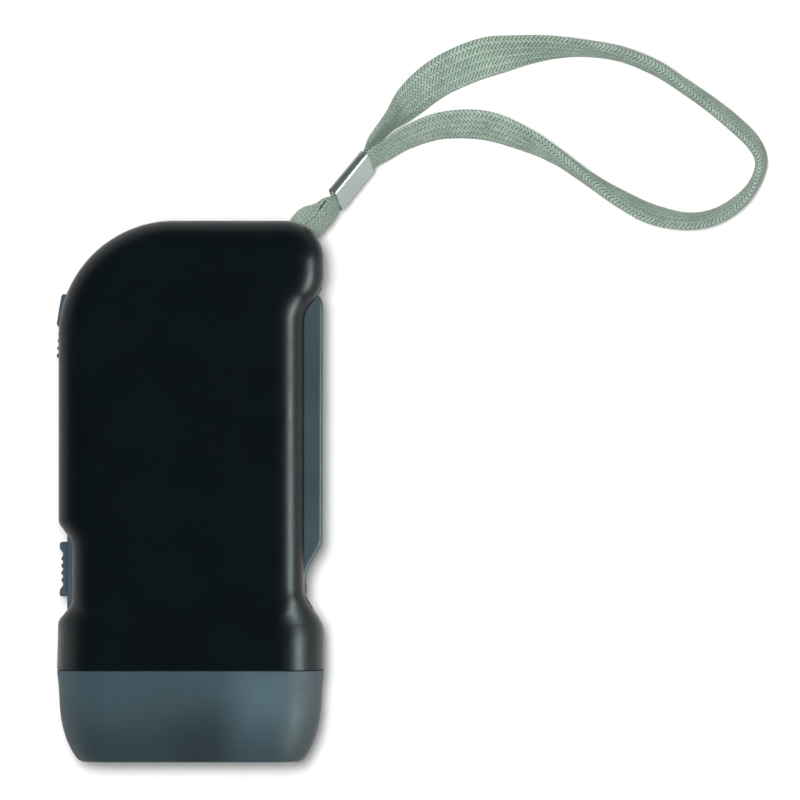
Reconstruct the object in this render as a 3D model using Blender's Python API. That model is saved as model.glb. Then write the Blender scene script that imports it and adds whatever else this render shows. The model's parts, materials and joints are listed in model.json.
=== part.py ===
"""Hand press dynamo torch with a wrist strap, lying on its side.

A black two-shell housing closes round a hand lever, an internal toothed sector, a freewheel
gear, an idler and a flywheel generator. A smoke grey head carries the reflector and the lens.
Built in metres: X across the housing, Y from the head (-) to the tail (+), Z up from the table.
"""

import math

import bmesh
import bpy
import numpy as np
from mathutils import Matrix, Vector

MM = 0.001

# Overall sizes
TOTAL_LENGTH = 105.2 * MM
HEAD_LENGTH = 17.9 * MM
HEAD_WIDTH = 52.0 * MM
THICKNESS = 31.0 * MM

# Fits shared by all pieces
WALL = 1.8 * MM
SEAM = 0.2 * MM
CLEARANCE = 0.3 * MM
RUNNING_FIT = 0.15 * MM
PRESS_FIT = 0.06 * MM
OVERRUN = 1.0 * MM
SMALLEST_ROUND = 0.8 * MM
MERGE_DISTANCE = 0.001 * MM
ARC_STEP = math.radians(10)
COARSE_STEP = math.radians(20)
ROUND_SIDES = 24
SMALL_SIDES = 12
SMOOTH_BELOW = math.radians(32)
EDGE_LIMIT_SHARE = 0.48

# Housing outline
EDGE_ROUND = 6.5 * MM
EDGE_STEPS = 4
CAVITY_STEPS = 4
HEAD_ROUND = 12.4 * MM
HEAD_ROUND_END = 7.2 * MM
HEAD_ROUND_RUN = 7.1 * MM
LEFT_INSET = 0.45 * MM
LEFT_FLARE_INSET = 0.25 * MM
TAIL_CORNER_RADIUS = 10.3 * MM
TAIL_SWEEP_RADIUS = 22.5 * MM
GRIP_DEPTH = 3.9 * MM
GRIP_FROM_HEAD = 8.6 * MM
GRIP_HEAD_RAMP = 5.7 * MM
GRIP_FROM_TAIL = 13.35 * MM
GRIP_TAIL_RAMP = 4.15 * MM
GRIP_ROUND = 6.0 * MM
NOTCH_DEPTH = 2.65 * MM
NOTCH_FROM_HEAD = 9.45 * MM
NOTCH_LENGTH = 19.05 * MM
NOTCH_HEAD_RAMP = 3.35 * MM
NOTCH_TAIL_RAMP = 3.5 * MM
NOTCH_OUTER_ROUND = 2.3 * MM
NOTCH_HEAD_ROUND = 3.6 * MM
NOTCH_TAIL_ROUND = 4.7 * MM

# Press lever and its pivot
PIVOT_INSET = 6.6 * MM
PIVOT_FROM_HEAD = 15.2 * MM
PIVOT_PIN_RADIUS = 1.5 * MM
PIVOT_BOSS_WALL = 1.5 * MM
LEVER_FACE_INSET = 0.15 * MM
LEVER_DEPTH = 7.25 * MM
LEVER_FROM_TAIL = 13.3 * MM
LEVER_WIDTH = 15.4 * MM
LEVER_WALL = 2.0 * MM
LEVER_TAIL_WALL = 1.55 * MM
LEVER_CHEEK = 1.6 * MM
LEVER_HUB_RADIUS = 3.15 * MM
LEVER_NECK = 9.4 * MM
LEVER_HEEL = 3.9 * MM
LEVER_TAIL_ROUND = 3.4 * MM
LEVER_EDGE = 1.0 * MM
LEVER_HEEL_ROUND = 7.0 * MM
LEVER_STEP = math.radians(15)

# Toothed sector on the lever, and the pinion that it drives
SECTOR_TEETH = 135
SECTOR_SETBACK = 4.8 * MM
SECTOR_FIRST_ANGLE = math.radians(3.0)
SECTOR_FROM_LEFT = 5.8 * MM
SECTOR_RIM = 1.9 * MM
SECTOR_THICKNESS = 3.0 * MM
SECTOR_FOOT_LENGTH = 9.0 * MM
SECTOR_PIN_RADIUS = 1.1 * MM
SECTOR_PIN_SPACING = 5.0 * MM
CATCH_REACH = 1.8 * MM
CATCH_ANGLE = math.radians(1.6)
DRIVE_TEETH = 10
DRIVE_ANGLE = math.radians(15.0)

# Gear train and layers, counted from the middle plane of the housing
TRAIN_MODULE_SHARE = 0.75
CLUTCH_TEETH = 36
CLUTCH_THICKNESS = 3.5 * MM
CLUTCH_WEB = 1.2 * MM
CLUTCH_RIM = 2.2 * MM
IDLER_TEETH = 32
IDLER_THICKNESS = 2.5 * MM
PINION_TEETH = 9
LAYER_GAP = 0.7 * MM
GEAR_PLAY = 0.14 * MM
PRESSURE_ANGLE = math.radians(20.0)
TIP_SHARE = 0.9
ROOT_SHARE = 1.28
FLANK_SHARES = (0.55,)
PINION_FLANK_SHARES = (0.35, 0.65)
ROOT_NARROW_SHARE = 0.85
RATCHET_TEETH = 8
RATCHET_RADIUS = 5.2 * MM
RATCHET_DEPTH = 0.8 * MM
PAWL_COUNT = 2
PAWL_THICKNESS = 0.8 * MM
PAWL_SWEEP = math.radians(52.0)
PAWL_STEPS = 6
AXLE_RADIUS = 1.0 * MM
AXLE_BOSS_WALL = 1.3 * MM
AXLE_SEAT = 2.6 * MM
FLYWHEEL_REACH_SHARE = 0.6165
FLYWHEEL_ANGLE = math.radians(40.0)

# Flywheel generator
FLYWHEEL_RADIUS = 13.0 * MM
FLYWHEEL_DEPTH = 8.0 * MM
FLYWHEEL_SKIN = 1.1 * MM
MAGNET_THICKNESS = 1.4 * MM
MAGNET_GAP = 0.8 * MM
HUB_RADIUS = 1.95 * MM
HUB_FLANGE_RADIUS = 4.0 * MM
HUB_FLANGE = 1.2 * MM
POLE_PLATE = 0.8 * MM
POLE_COUNT = 6
POLE_ANGLE = math.radians(24.0)
POLE_THICKNESS = 0.8 * MM
STATOR_CORE_RADIUS = 3.4 * MM
BOBBIN_WALL = 0.5 * MM
BOBBIN_EDGE = 1.0 * MM

# Lock slider in the tail's sweep
LOCK_LENGTH = 13.1 * MM
LOCK_WIDTH = 8.0 * MM
LOCK_FROM_TAIL = 20.8 * MM
LOCK_RIDGE = 1.3 * MM
LOCK_STEP = 0.66 * MM
LOCK_BASE = 1.2 * MM
LOCK_RIB_COUNT = 4
LOCK_RIB_PITCH = 1.43 * MM
LOCK_RIB_DEPTH = 0.33 * MM
LOCK_RIB_WIDTH = 0.75 * MM
LOCK_FLOOR = 1.5 * MM
LOCK_POCKET_WALL = 1.3 * MM
LOCK_TRAVEL = 2.5 * MM
LOCK_NECK_WIDTH = 4.0 * MM
LOCK_NECK_LENGTH = 3.4 * MM
BOLT_THICKNESS = 1.2 * MM
BOLT_WIDTH = 6.4 * MM
BOLT_LENGTH = 10.0 * MM
HOOK_LENGTH = 1.6 * MM

# Switch slider in the notch, on its plate
SWITCH_PLATE_THICKNESS = 1.0 * MM
SWITCH_PLATE_WIDTH = 10.0 * MM
SWITCH_LENGTH = 10.6 * MM
SWITCH_WIDTH = 7.0 * MM
SWITCH_HEIGHT = 1.52 * MM
SWITCH_FROM_HEAD = 14.2 * MM
SWITCH_END = 1.75 * MM
SWITCH_RIB_COUNT = 4
SWITCH_RIB_PITCH = 1.38 * MM
SWITCH_RIB_WIDTH = 0.7 * MM
SWITCH_RIB_DROP = 0.37 * MM
SWITCH_RIB_DEPTH = 0.3 * MM
SWITCH_TRAVEL = 2.0 * MM
SWITCH_NECK_LENGTH = 3.6 * MM
SWITCH_NECK_WIDTH = 3.0 * MM
CARRIER_LENGTH = 6.0 * MM
CARRIER_WIDTH = 6.0 * MM
CARRIER_THICKNESS = 1.6 * MM
WIPER_THICKNESS = 0.3 * MM
SWITCH_BASE_LENGTH = 13.0 * MM
SWITCH_BASE_THICKNESS = 2.4 * MM
SWITCH_BASE_WIDTH = 9.0 * MM

# Screws through the lower shell; their places across are shares of half the width
TAIL_SCREW_SHARES = -0.48, 0.36
TAIL_SCREW_INSETS = 9.5 * MM, 5.8 * MM
HEAD_SCREW_SHARES = 0.73, -0.75
HEAD_SCREW_FROM_JOINT = 7.6 * MM
SIDE_SCREW_SHARE = -0.76
SIDE_SCREW_FROM_JOINT = 30.7 * MM
SCREW_BOSS_RADIUS = 2.9 * MM
SCREW_HEAD_RADIUS = 2.2 * MM
SCREW_HEAD_HEIGHT = 1.5 * MM
SCREW_RADIUS = 1.0 * MM
SCREW_LENGTH = 14.0 * MM
SCREW_SINK = 5.0 * MM
SCREW_POINT_SHARE = 0.3

# Head, lens, reflector and lamps
HEAD_SEAM = 0.15 * MM
HEAD_FRONT_INSET = 4.6 * MM
HEAD_SPIGOT = 3.6 * MM
SPIGOT_WALL = 1.5 * MM
SPIGOT_RUN = 1.6 * MM
HEAD_STATION_SHARES = ((0.0, 0.0), (0.1, 0.04), (0.24, 0.09), (0.44, 0.13), (0.6, 0.225), (0.74, 0.38),
                       (0.86, 0.58), (0.94, 0.77), (0.985, 0.92), (1.0, 1.0))
HEIGHT_INSET_SHARE = 0.8
LENS_EDGE = 1.1 * MM
LENS_THICKNESS = 1.6 * MM
LENS_SEAT = 1.4 * MM
REFLECTOR_PLATE = 1.2 * MM
REFLECTOR_WALL = 0.9 * MM
BOWL_RADIUS = 8.6 * MM
BOWL_WEB = 1.2 * MM
BOWL_DEPTH = 11.5 * MM
BOWL_STEPS = 4
BOWL_SIDES = 20
LAMP_RADIUS = 2.45 * MM
LAMP_FLANGE_RADIUS = 2.9 * MM
LAMP_FLANGE = 0.9 * MM
LAMP_LENGTH = 4.2 * MM
DOME_TURNS = (math.radians(30), math.radians(60), math.radians(80))
LAMP_BOARD_THICKNESS = 1.2 * MM
LAMP_BOARD_WIDTH = 36.0 * MM
LAMP_BOARD_HEIGHT = 14.0 * MM

# Cell, board and leads
CELL_SIZE = 15.5 * MM
CELL_HEIGHT = 16.0 * MM
CELL_FROM_HEAD = 15.0 * MM
CELL_NEST_WALL = 1.2 * MM
CELL_NEST_HEIGHT = 5.0 * MM
CELL_TAB_RADIUS = 2.2 * MM
CELL_TAB_THICKNESS = 0.4 * MM
BOARD_FROM_PIVOT = 11.4 * MM
BOARD_FROM_HEAD = 15.4 * MM
BOARD_WIDTH = 10.0 * MM
BOARD_LENGTH = 19.0 * MM
BOARD_THICKNESS = 1.2 * MM
BOARD_HEIGHT = 5.2 * MM
BOARD_POST_RADIUS = 1.6 * MM
BOARD_POST_INSET = 2.4 * MM
CAPACITOR_RADIUS = 2.5 * MM
CAPACITOR_HEIGHT = 7.0 * MM
LEAD_RADIUS = 0.5 * MM
LEAD_END_GAP = 0.12 * MM
WIRE_STEPS = 3
LEAD_RISE = 3.0 * MM

# Lever spring
SPRING_WIRE_RADIUS = 0.4 * MM
SPRING_TURNS = 5
SPRING_POINTS_PER_TURN = 9
SPRING_GAP = 0.45 * MM
SPRING_LEG_RISE = 7.0 * MM

# Strap pin, pocket, crimp and strap
STRAP_PIN_RADIUS = 0.9 * MM
STRAP_PIN_INSET = 6.4 * MM
STRAP_PIN_END = 1.4 * MM
POCKET_ANGLE = math.radians(51.0)
POCKET_BACK = 3.0 * MM
POCKET_REACH = 12.0 * MM
POCKET_BACK_WIDTH = 5.8 * MM
POCKET_MOUTH_WIDTH = 10.6 * MM
POCKET_HEIGHT = 9.6 * MM
POCKET_WALL = 1.4 * MM
CRIMP_WIDTH = 7.6 * MM
CRIMP_THICKNESS = 1.95 * MM
CRIMP_WALL = 0.25 * MM
CRIMP_ROUND = 0.7 * MM
CRIMP_LENGTH = 10.3 * MM
CRIMP_LEAN = 64.0
STRAP_SECTION_POINTS = 8
STRAP_SECTION_POWER = 0.72
STRAP_SAMPLES = 2

# Where the strap's route has its pin, the housing thickness it was drawn for, and the middle of
# the crimp and its way, in millimetres
ROUTE_PIN = 19.6, 46.2
ROUTE_THICKNESS = 31.0
CRIMP_MIDDLE = 31.33, 60.615, 10.7
CRIMP_WAY = 6.3, 7.65, -2.8

# The strap's route, chosen by hand: x, y, lift over the table (mm), lean of its width (degrees),
# width, thickness (mm). It starts in the crimp, rounds the strap pin, comes back through the
# crimp, makes the wrist loop and ends in the crimp. The lift is that of its lower edge.
STRAP_ROUTE = (
    (31.39, 60.18, 7.96, 116, 6.6, 0.6),
    (28.43, 56.58, 9.27, 116, 6.6, 0.6),
    (27.0, 54.5, 9.75, 111, 7.3, 1.0),
    (25.3, 52.3, 10.45, 107, 7.6, 1.2),
    (22.9, 49.6, 11.2, 102, 7.6, 1.1),
    (21.4, 47.0, 11.65, 94, 7.5, 1.0),
    (20.96, 45.1, 11.75, 90, 7.5, 1.0),
    (20.2, 44.4, 11.75, 90, 7.5, 1.0),
    (18.5, 44.84, 11.75, 90, 7.5, 1.0),
    (17.9, 46.2, 11.75, 90, 7.5, 1.0),
    (18.24, 47.3, 11.75, 90, 7.5, 1.0),
    (18.9, 49.6, 11.6, 86, 7.5, 1.0),
    (20.2, 51.9, 11.25, 80, 7.6, 1.1),
    (22.8, 54.5, 10.5, 76, 7.6, 1.2),
    (25.4, 56.1, 9.7, 70, 7.3, 1.0),
    (27.58, 56.58, 9.15, 64, 6.6, 0.6),
    (31.08, 60.83, 7.59, 64, 6.6, 0.6),
    (34.53, 65.01, 6.06, 64, 6.6, 0.6),
    (36.0, 68.7, 4.2, 72, 7.4, 1.2),
    (38.9, 72.5, 2.6, 66, 7.9, 1.4),
    (42.6, 76.3, 1.6, 38, 8.0, 1.4),
    (48.5, 81.0, 0.9, 20, 8.0, 1.5),
    (56.2, 84.5, 0.3, 6, 8.0, 1.5),
    (63.2, 86.0, 0.1, 36, 8.0, 1.6),
    (70.3, 86.8, 0.1, 57, 8.0, 1.9),
    (77.4, 86.6, 0.1, 72, 7.8, 2.3),
    (84.4, 85.4, 0.1, 80, 7.6, 2.6),
    (91.0, 82.7, 0.1, 85, 7.5, 2.9),
    (96.5, 79.2, 0.1, 97, 7.5, 2.8),
    (101.7, 75.6, 0.1, 106, 7.6, 2.4),
    (106.6, 71.6, 0.1, 110, 7.7, 2.2),
    (110.1, 68.0, 0.1, 107, 7.7, 2.2),
    (111.5, 64.5, 0.1, 99, 7.6, 2.2),
    (110.4, 60.6, 0.1, 91, 7.5, 2.2),
    (107.3, 56.7, 0.1, 79, 7.6, 2.3),
    (102.5, 53.7, 0.1, 73, 7.7, 2.3),
    (96.9, 52.8, 0.1, 68, 7.8, 2.2),
    (90.0, 54.2, 0.1, 62, 7.8, 2.2),
    (83.6, 57.4, 0.1, 69, 7.7, 2.4),
    (77.6, 61.2, 0.1, 88, 7.5, 2.8),
    (71.7, 65.3, 0.1, 106, 7.7, 2.3),
    (65.5, 68.7, 0.1, 123, 7.9, 1.8),
    (57.5, 71.5, 0.1, 135, 8.0, 1.6),
    (49.0, 71.5, 0.2, 131, 8.0, 1.5),
    (42.2, 69.2, 1.3, 123, 7.8, 1.3),
    (37.9, 66.6, 3.75, 117, 7.2, 0.9),
    (34.99, 64.55, 6.36, 116, 6.6, 0.6),
    (31.77, 60.64, 7.79, 116, 6.6, 0.6),
)

# Places worked out from the sizes above
FRONT_Y = -TOTAL_LENGTH / 2
TAIL_Y = TOTAL_LENGTH / 2
JOINT_Y = FRONT_Y + HEAD_LENGTH
HALF_WIDTH = HEAD_WIDTH / 2
HALF_DEPTH = THICKNESS / 2
MID_Z = HALF_DEPTH
LEFT_X = -(HALF_WIDTH - LEFT_INSET)
GRIP_X = HALF_WIDTH - GRIP_DEPTH
NOTCH_X = LEFT_X + NOTCH_DEPTH
SWITCH_X = NOTCH_X - PRESS_FIT - SWITCH_PLATE_THICKNESS
SQUARE_SIGNS = ((1, -1), (1, 1), (-1, 1), (-1, -1))
PIVOT = np.array([HALF_WIDTH - PIVOT_INSET, JOINT_Y + PIVOT_FROM_HEAD])
LEVER_REACH = TAIL_Y - LEVER_FROM_TAIL - PIVOT[1]
SECTOR_RADIUS = LEVER_REACH - SECTOR_SETBACK
DRIVE_MODULE = 2 * SECTOR_RADIUS / SECTOR_TEETH
TRAIN_MODULE = DRIVE_MODULE * TRAIN_MODULE_SHARE
DRIVE_RADIUS = DRIVE_TEETH * DRIVE_MODULE / 2
CLUTCH_RADIUS = CLUTCH_TEETH * TRAIN_MODULE / 2
IDLER_RADIUS = IDLER_TEETH * TRAIN_MODULE / 2
PINION_RADIUS = PINION_TEETH * TRAIN_MODULE / 2
SECTOR_OUTER = SECTOR_RADIUS + ROOT_SHARE * DRIVE_MODULE + SECTOR_RIM
SECTOR_LAST_ANGLE = math.asin((PIVOT[0] - LEFT_X - SECTOR_FROM_LEFT) / SECTOR_OUTER)
SECTOR_FOOT_HEIGHT = LEVER_WIDTH - 2 * LEVER_CHEEK - 2 * CLEARANCE
CLUTCH_TOP = -(SECTOR_THICKNESS / 2 + LAYER_GAP)
CLUTCH_BOTTOM = CLUTCH_TOP - CLUTCH_THICKNESS
IDLER_TOP = CLUTCH_BOTTOM - LAYER_GAP
IDLER_BOTTOM = IDLER_TOP - IDLER_THICKNESS
ROOF = HALF_DEPTH - WALL
SWITCH_INSIDE = (NOTCH_X + WALL + CLEARANCE + PRESS_FIT * 2 + CARRIER_THICKNESS + WIPER_THICKNESS
                 + RUNNING_FIT + SWITCH_BASE_THICKNESS)
BOARD_PLACE = np.array([PIVOT[0] - BOARD_FROM_PIVOT, JOINT_Y + BOARD_FROM_HEAD])
CELL_ROOM = BOARD_PLACE[0] - BOARD_WIDTH / 2 - SWITCH_INSIDE
CELL_RADIUS = min(CELL_SIZE, CELL_ROOM - CLEARANCE * 2) / 2
CELL_PLACE = np.array([SWITCH_INSIDE + CELL_ROOM / 2, JOINT_Y + CELL_FROM_HEAD])


def beside(centre, angle, reach):
    """The point at a reach from a centre, at an angle counted from +Y towards -X."""
    return centre + reach * np.array([-math.sin(angle), math.cos(angle)])


def meeting_point(first, second, first_reach, second_reach):
    """The point at two reaches from two centres, on the left of the way from first to second."""
    way = second - first
    span = np.linalg.norm(way)
    along = (first_reach ** 2 - second_reach ** 2 + span ** 2) / (2 * span)
    aside = math.sqrt(max(first_reach ** 2 - along ** 2, 0))
    way = way / span
    return first + way * along - aside * np.array([-way[1], way[0]])


DRIVE_AXIS = beside(PIVOT, DRIVE_ANGLE, SECTOR_RADIUS - DRIVE_RADIUS)
FLYWHEEL_AXIS = beside(PIVOT, FLYWHEEL_ANGLE, FLYWHEEL_REACH_SHARE * SECTOR_RADIUS)
IDLER_AXIS = meeting_point(DRIVE_AXIS, FLYWHEEL_AXIS, CLUTCH_RADIUS + PINION_RADIUS,
                           IDLER_RADIUS + PINION_RADIUS)
STRAP_PIN = np.array([HALF_WIDTH - STRAP_PIN_INSET, TAIL_Y - STRAP_PIN_INSET])
ROUTE_SHIFT = np.array([*(STRAP_PIN - np.array(ROUTE_PIN) * MM), 0])
ROUTE_STRETCH = np.array([1, 1, THICKNESS / (ROUTE_THICKNESS * MM)])

FINISHES = {
    "black_shell": ((0.006, 0.008, 0.010), 0.38, 0.0),
    "smoke_head": ((0.062, 0.088, 0.105), 0.22, 0.0),
    "grey_slider": ((0.12, 0.15, 0.18), 0.5, 0.0),
    "grey_lever": ((0.05, 0.072, 0.085), 0.42, 0.0),
    "white_nylon": ((0.78, 0.78, 0.74), 0.45, 0.0),
    "clear_lens": ((0.80, 0.84, 0.86), 0.05, 0.0),
    "chrome": ((0.80, 0.82, 0.84), 0.08, 1.0),
    "steel": ((0.56, 0.57, 0.58), 0.3, 1.0),
    "crimp_steel": ((0.44, 0.50, 0.47), 0.28, 1.0),
    "board_green": ((0.02, 0.16, 0.07), 0.5, 0.0),
    "lamp_clear": ((0.82, 0.85, 0.80), 0.1, 0.0),
    "copper": ((0.62, 0.27, 0.12), 0.35, 0.8),
    "magnet": ((0.09, 0.09, 0.10), 0.55, 0.2),
    "cell_wrap": ((0.03, 0.22, 0.13), 0.4, 0.0),
    "brass": ((0.65, 0.48, 0.20), 0.3, 1.0),
    "red_lead": ((0.55, 0.03, 0.02), 0.45, 0.0),
    "black_lead": ((0.02, 0.02, 0.02), 0.45, 0.0),
    "strap_braid": ((0.36, 0.45, 0.36), 0.85, 0.0),
    "black_part": ((0.02, 0.02, 0.022), 0.5, 0.0),
}


def clear_scene():
    for thing in list(bpy.data.objects):
        bpy.data.objects.remove(thing, do_unlink=True)


def finish(name):
    """The named material, made once."""
    material = bpy.data.materials.get(name)
    if material is None:
        colour, roughness, metallic = FINISHES[name]
        material = bpy.data.materials.new(name)
        material.use_nodes = True
        shader = material.node_tree.nodes["Principled BSDF"]
        shader.inputs["Base Color"].default_value = (*colour, 1.0)
        shader.inputs["Roughness"].default_value = roughness
        shader.inputs["Metallic"].default_value = metallic
        material.diffuse_color = (*colour, 1.0)
    return material


def place_mesh(name, sheet, look=None, origin=None, parent=None):
    """The sheet as an object with its faces outward and its low-angle edges smooth.

    A body without a look is a cutter, or a body to be joined, and stays out of the render.
    """
    home = Vector(origin) if origin is not None else Vector((0, 0, 0))
    bmesh.ops.translate(sheet, vec=-home, verts=sheet.verts)
    bmesh.ops.recalc_face_normals(sheet, faces=sheet.faces)
    for face in sheet.faces:
        face.smooth = True
    for edge in sheet.edges:
        edge.smooth = edge.calc_face_angle(0) < SMOOTH_BELOW
    mesh = bpy.data.meshes.new(name)
    sheet.to_mesh(mesh)
    sheet.free()
    thing = bpy.data.objects.new(name, mesh)
    bpy.context.collection.objects.link(thing)
    thing.location = home
    if look:
        mesh.materials.append(finish(look))
    else:
        thing.hide_render = True
        thing.display_type = "WIRE"
    if parent:
        thing.parent = parent
        thing.location = home - parent.location
    return thing


def combine(target, other, operation):
    step = target.modifiers.new(other.name, "BOOLEAN")
    step.operation = operation
    step.solver = "EXACT"
    step.object = other
    return target


def cut(target, other):
    return combine(target, other, "DIFFERENCE")


def join(target, other):
    other.hide_render = True
    other.display_type = "WIRE"
    return combine(target, other, "UNION")


def axis_empty(name, place, height=MID_Z):
    """An empty on a joint's axis, which carries the pieces that move together."""
    empty = bpy.data.objects.new(name, None)
    bpy.context.collection.objects.link(empty)
    empty.location = (place[0], place[1], height)
    return empty


def inset_corners(corners, depth):
    """The corners of an outline moved inward by a depth, with their rounds to suit."""
    count = len(corners)
    moved = []
    for i, (x, y, radius) in enumerate(corners):
        here = np.array([x, y])
        back = here - np.array(corners[i - 1][:2])
        ahead = np.array(corners[(i + 1) % count][:2]) - here
        back, ahead = back / np.linalg.norm(back), ahead / np.linalg.norm(ahead)
        normals = np.array([-back[1], back[0]]), np.array([-ahead[1], ahead[0]])
        shift = (normals[0] + normals[1]) / (1 + normals[0] @ normals[1])
        convex = back[0] * ahead[1] - back[1] * ahead[0] > 0
        rounded = max(radius - depth, SMALLEST_ROUND) if convex else radius + depth
        moved.append((*(here + depth * shift), rounded))
    return moved


def rounded_outline(corners, step=ARC_STEP):
    """Points round an outline given by its corners and their radii, anticlockwise."""
    count = len(corners)
    points = []
    for i, (x, y, radius) in enumerate(corners):
        here = np.array([x, y])
        back = np.array(corners[i - 1][:2]) - here
        ahead = np.array(corners[(i + 1) % count][:2]) - here
        room = EDGE_LIMIT_SHARE * min(np.linalg.norm(back), np.linalg.norm(ahead))
        back, ahead = back / np.linalg.norm(back), ahead / np.linalg.norm(ahead)
        turn = math.pi - math.acos(max(-1, min(1, back @ ahead)))
        reach = min(radius * math.tan(turn / 2), room)
        radius = reach / math.tan(turn / 2)
        centre = here + (back + ahead) / np.linalg.norm(back + ahead) * radius / math.cos(turn / 2)
        spoke = here + back * reach - centre
        side = 1 if back[0] * ahead[1] - back[1] * ahead[0] < 0 else -1
        steps = max(1, math.ceil(turn / step - ARC_STEP * ARC_STEP))
        for k in range(steps + 1):
            angle = side * turn * k / steps
            c, s = math.cos(angle), math.sin(angle)
            points.append(centre + np.array([c * spoke[0] - s * spoke[1], s * spoke[0] + c * spoke[1]]))
    return np.array(points)


def level(points, height):
    """Outline points at a height over the middle plane of the housing."""
    return [(x, y, MID_Z + height) for x, y in points]


def loft(name, rings, look=None, **where):
    """A body grown ring by ring: its end face is extruded and set on the next ring's points."""
    sheet = bmesh.new()
    end = sheet.faces.new([sheet.verts.new(point) for point in rings[0]])
    for ring in rings[1:]:
        grown = bmesh.ops.extrude_face_region(sheet, geom=[end, *end.edges])["geom"]
        end = next(part for part in grown if isinstance(part, bmesh.types.BMFace))
        for vert, point in zip(end.verts, ring):
            vert.co = point
    return place_mesh(name, sheet, look, **where)


def prisms(name, outlines, low, high, look=None, **where):
    """One or more flat outlines extruded straight up."""
    sheet = bmesh.new()
    flat = [sheet.faces.new([sheet.verts.new(point) for point in level(points, low)])
            for points in outlines]
    grown = bmesh.ops.extrude_face_region(sheet, geom=flat)["geom"]
    moved = [part for part in grown if isinstance(part, bmesh.types.BMVert)]
    bmesh.ops.translate(sheet, vec=(0, 0, high - low), verts=moved)
    return place_mesh(name, sheet, look, **where)


def prism(name, points, low, high, look=None, **where):
    return prisms(name, [points], low, high, look, **where)


def box(name, low, high, look=None, **where):
    """A block between two corners, heights counted from the middle plane."""
    low, high = Vector(low), Vector(high)
    centre = (low + high) / 2 + Vector((0, 0, MID_Z))
    sheet = bmesh.new()
    bmesh.ops.create_cube(sheet, size=1,
                          matrix=Matrix.Translation(centre) @ Matrix.Diagonal((*(high - low), 1)))
    return place_mesh(name, sheet, look, **where)


def rod(name, place, radius, low, high, look=None, sides=ROUND_SIDES, **where):
    """A round bar on a Z axis."""
    centre = Matrix.Translation((place[0], place[1], MID_Z + (low + high) / 2))
    sheet = bmesh.new()
    bmesh.ops.create_cone(sheet, cap_ends=True, segments=sides, radius1=radius, radius2=radius,
                          depth=abs(high - low), matrix=centre)
    return place_mesh(name, sheet, look, **where)


def turned(name, place, profile, look=None, sides=ROUND_SIDES, axis=(0, 0, 1), **where):
    """A profile of radius and height pairs spun round an axis; its open ends are filled.

    The height runs along the axis from the middle plane, or from y = 0 for a Y axis. A profile
    that comes back to its first point makes a ring.
    """
    ring = len(profile) > 2 and profile[0] == profile[-1]
    upright = axis[2] == 1
    foot = Vector((place[0], place[1], MID_Z)) if upright else Vector((place[0], 0, MID_Z))
    sheet = bmesh.new()
    stops = [sheet.verts.new(foot + Vector((r, 0, h) if upright else (r, h, 0)))
             for r, h in (profile[:-1] if ring else profile)]
    edges = [sheet.edges.new(pair) for pair in zip(stops, stops[1:] + stops[:1])][:len(profile) - 1]
    bmesh.ops.spin(sheet, geom=stops + edges, cent=foot, axis=axis, angle=2 * math.pi, steps=sides,
                   use_merge=True)
    bmesh.ops.remove_doubles(sheet, verts=sheet.verts, dist=MERGE_DISTANCE)
    rim = [edge for edge in sheet.edges if edge.is_boundary]
    if rim:
        bmesh.ops.holes_fill(sheet, edges=rim, sides=0)
    return place_mesh(name, sheet, look, **where)


def bored(name, place, outer, bore, low, high, look=None, sides=ROUND_SIDES, **where):
    """A ring or tube on a Z axis."""
    profile = [(outer, low), (outer, high), (bore, high), (bore, low), (outer, low)]
    return turned(name, place, profile, look, sides, **where)


def wire(name, points, radius, look, smooth=True):
    """A round wire: a curve through the points with a round bevel and filled ends."""
    curve = bpy.data.curves.new(name, "CURVE")
    curve.dimensions = "3D"
    curve.bevel_depth = radius
    curve.bevel_resolution = 1
    curve.resolution_u = curve.render_resolution_u = WIRE_STEPS
    curve.use_fill_caps = True
    curve.twist_mode = "MINIMUM"
    spline = curve.splines.new("BEZIER" if smooth else "POLY")
    stops = spline.bezier_points if smooth else spline.points
    stops.add(len(points) - 1)
    for stop, point in zip(stops, points):
        if smooth:
            stop.co = point
            stop.handle_left_type = stop.handle_right_type = "AUTO"
        else:
            stop.co = (*point, 1)
    curve.materials.append(finish(look))
    thing = bpy.data.objects.new(name, curve)
    bpy.context.collection.objects.link(thing)
    return thing


def local_points(origin, along, pairs):
    """Plane points given as distances along a direction and out to its left."""
    out = np.array([-along[1], along[0]])
    return [origin + s * along + h * out for s, h in pairs]


def block_points(origin, along, start, end, low, high):
    """The four corners of a block laid along a direction, its height counted to the left."""
    return local_points(origin, along, [(start, low), (end, low), (end, high), (start, high)])


def involute(angle):
    return math.tan(angle) - angle


def half_tooth(radius, teeth, module, play):
    """Half the angle that a tooth takes at a radius."""
    pitch = teeth * module / 2
    base = pitch * math.cos(PRESSURE_ANGLE)
    here = math.acos(min(1.0, base / max(radius, base)))
    return (math.pi / (2 * teeth) - play / (2 * pitch) + involute(PRESSURE_ANGLE) - involute(here))


def gear_outline(centre, teeth, module, first_tooth, flanks=FLANK_SHARES, root_width=1.0):
    """A spur gear's outline, with one tooth centred on the given angle from +X."""
    tip = teeth * module / 2 + TIP_SHARE * module
    root = teeth * module / 2 - ROOT_SHARE * module
    side = [(root, half_tooth(root, teeth, module, GEAR_PLAY) * root_width)]
    side += [(r, half_tooth(r, teeth, module, GEAR_PLAY)) for r in (root + (tip - root) * s
                                                                    for s in flanks)]
    side.append((tip, half_tooth(tip, teeth, module, GEAR_PLAY)))
    points = []
    for k in range(teeth):
        middle = first_tooth + 2 * math.pi * k / teeth
        turns = [(r, middle - a) for r, a in side] + [(r, middle + a) for r, a in reversed(side)]
        points += [(centre[0] + r * math.cos(a), centre[1] + r * math.sin(a)) for r, a in turns]
    return np.array(points)


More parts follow.
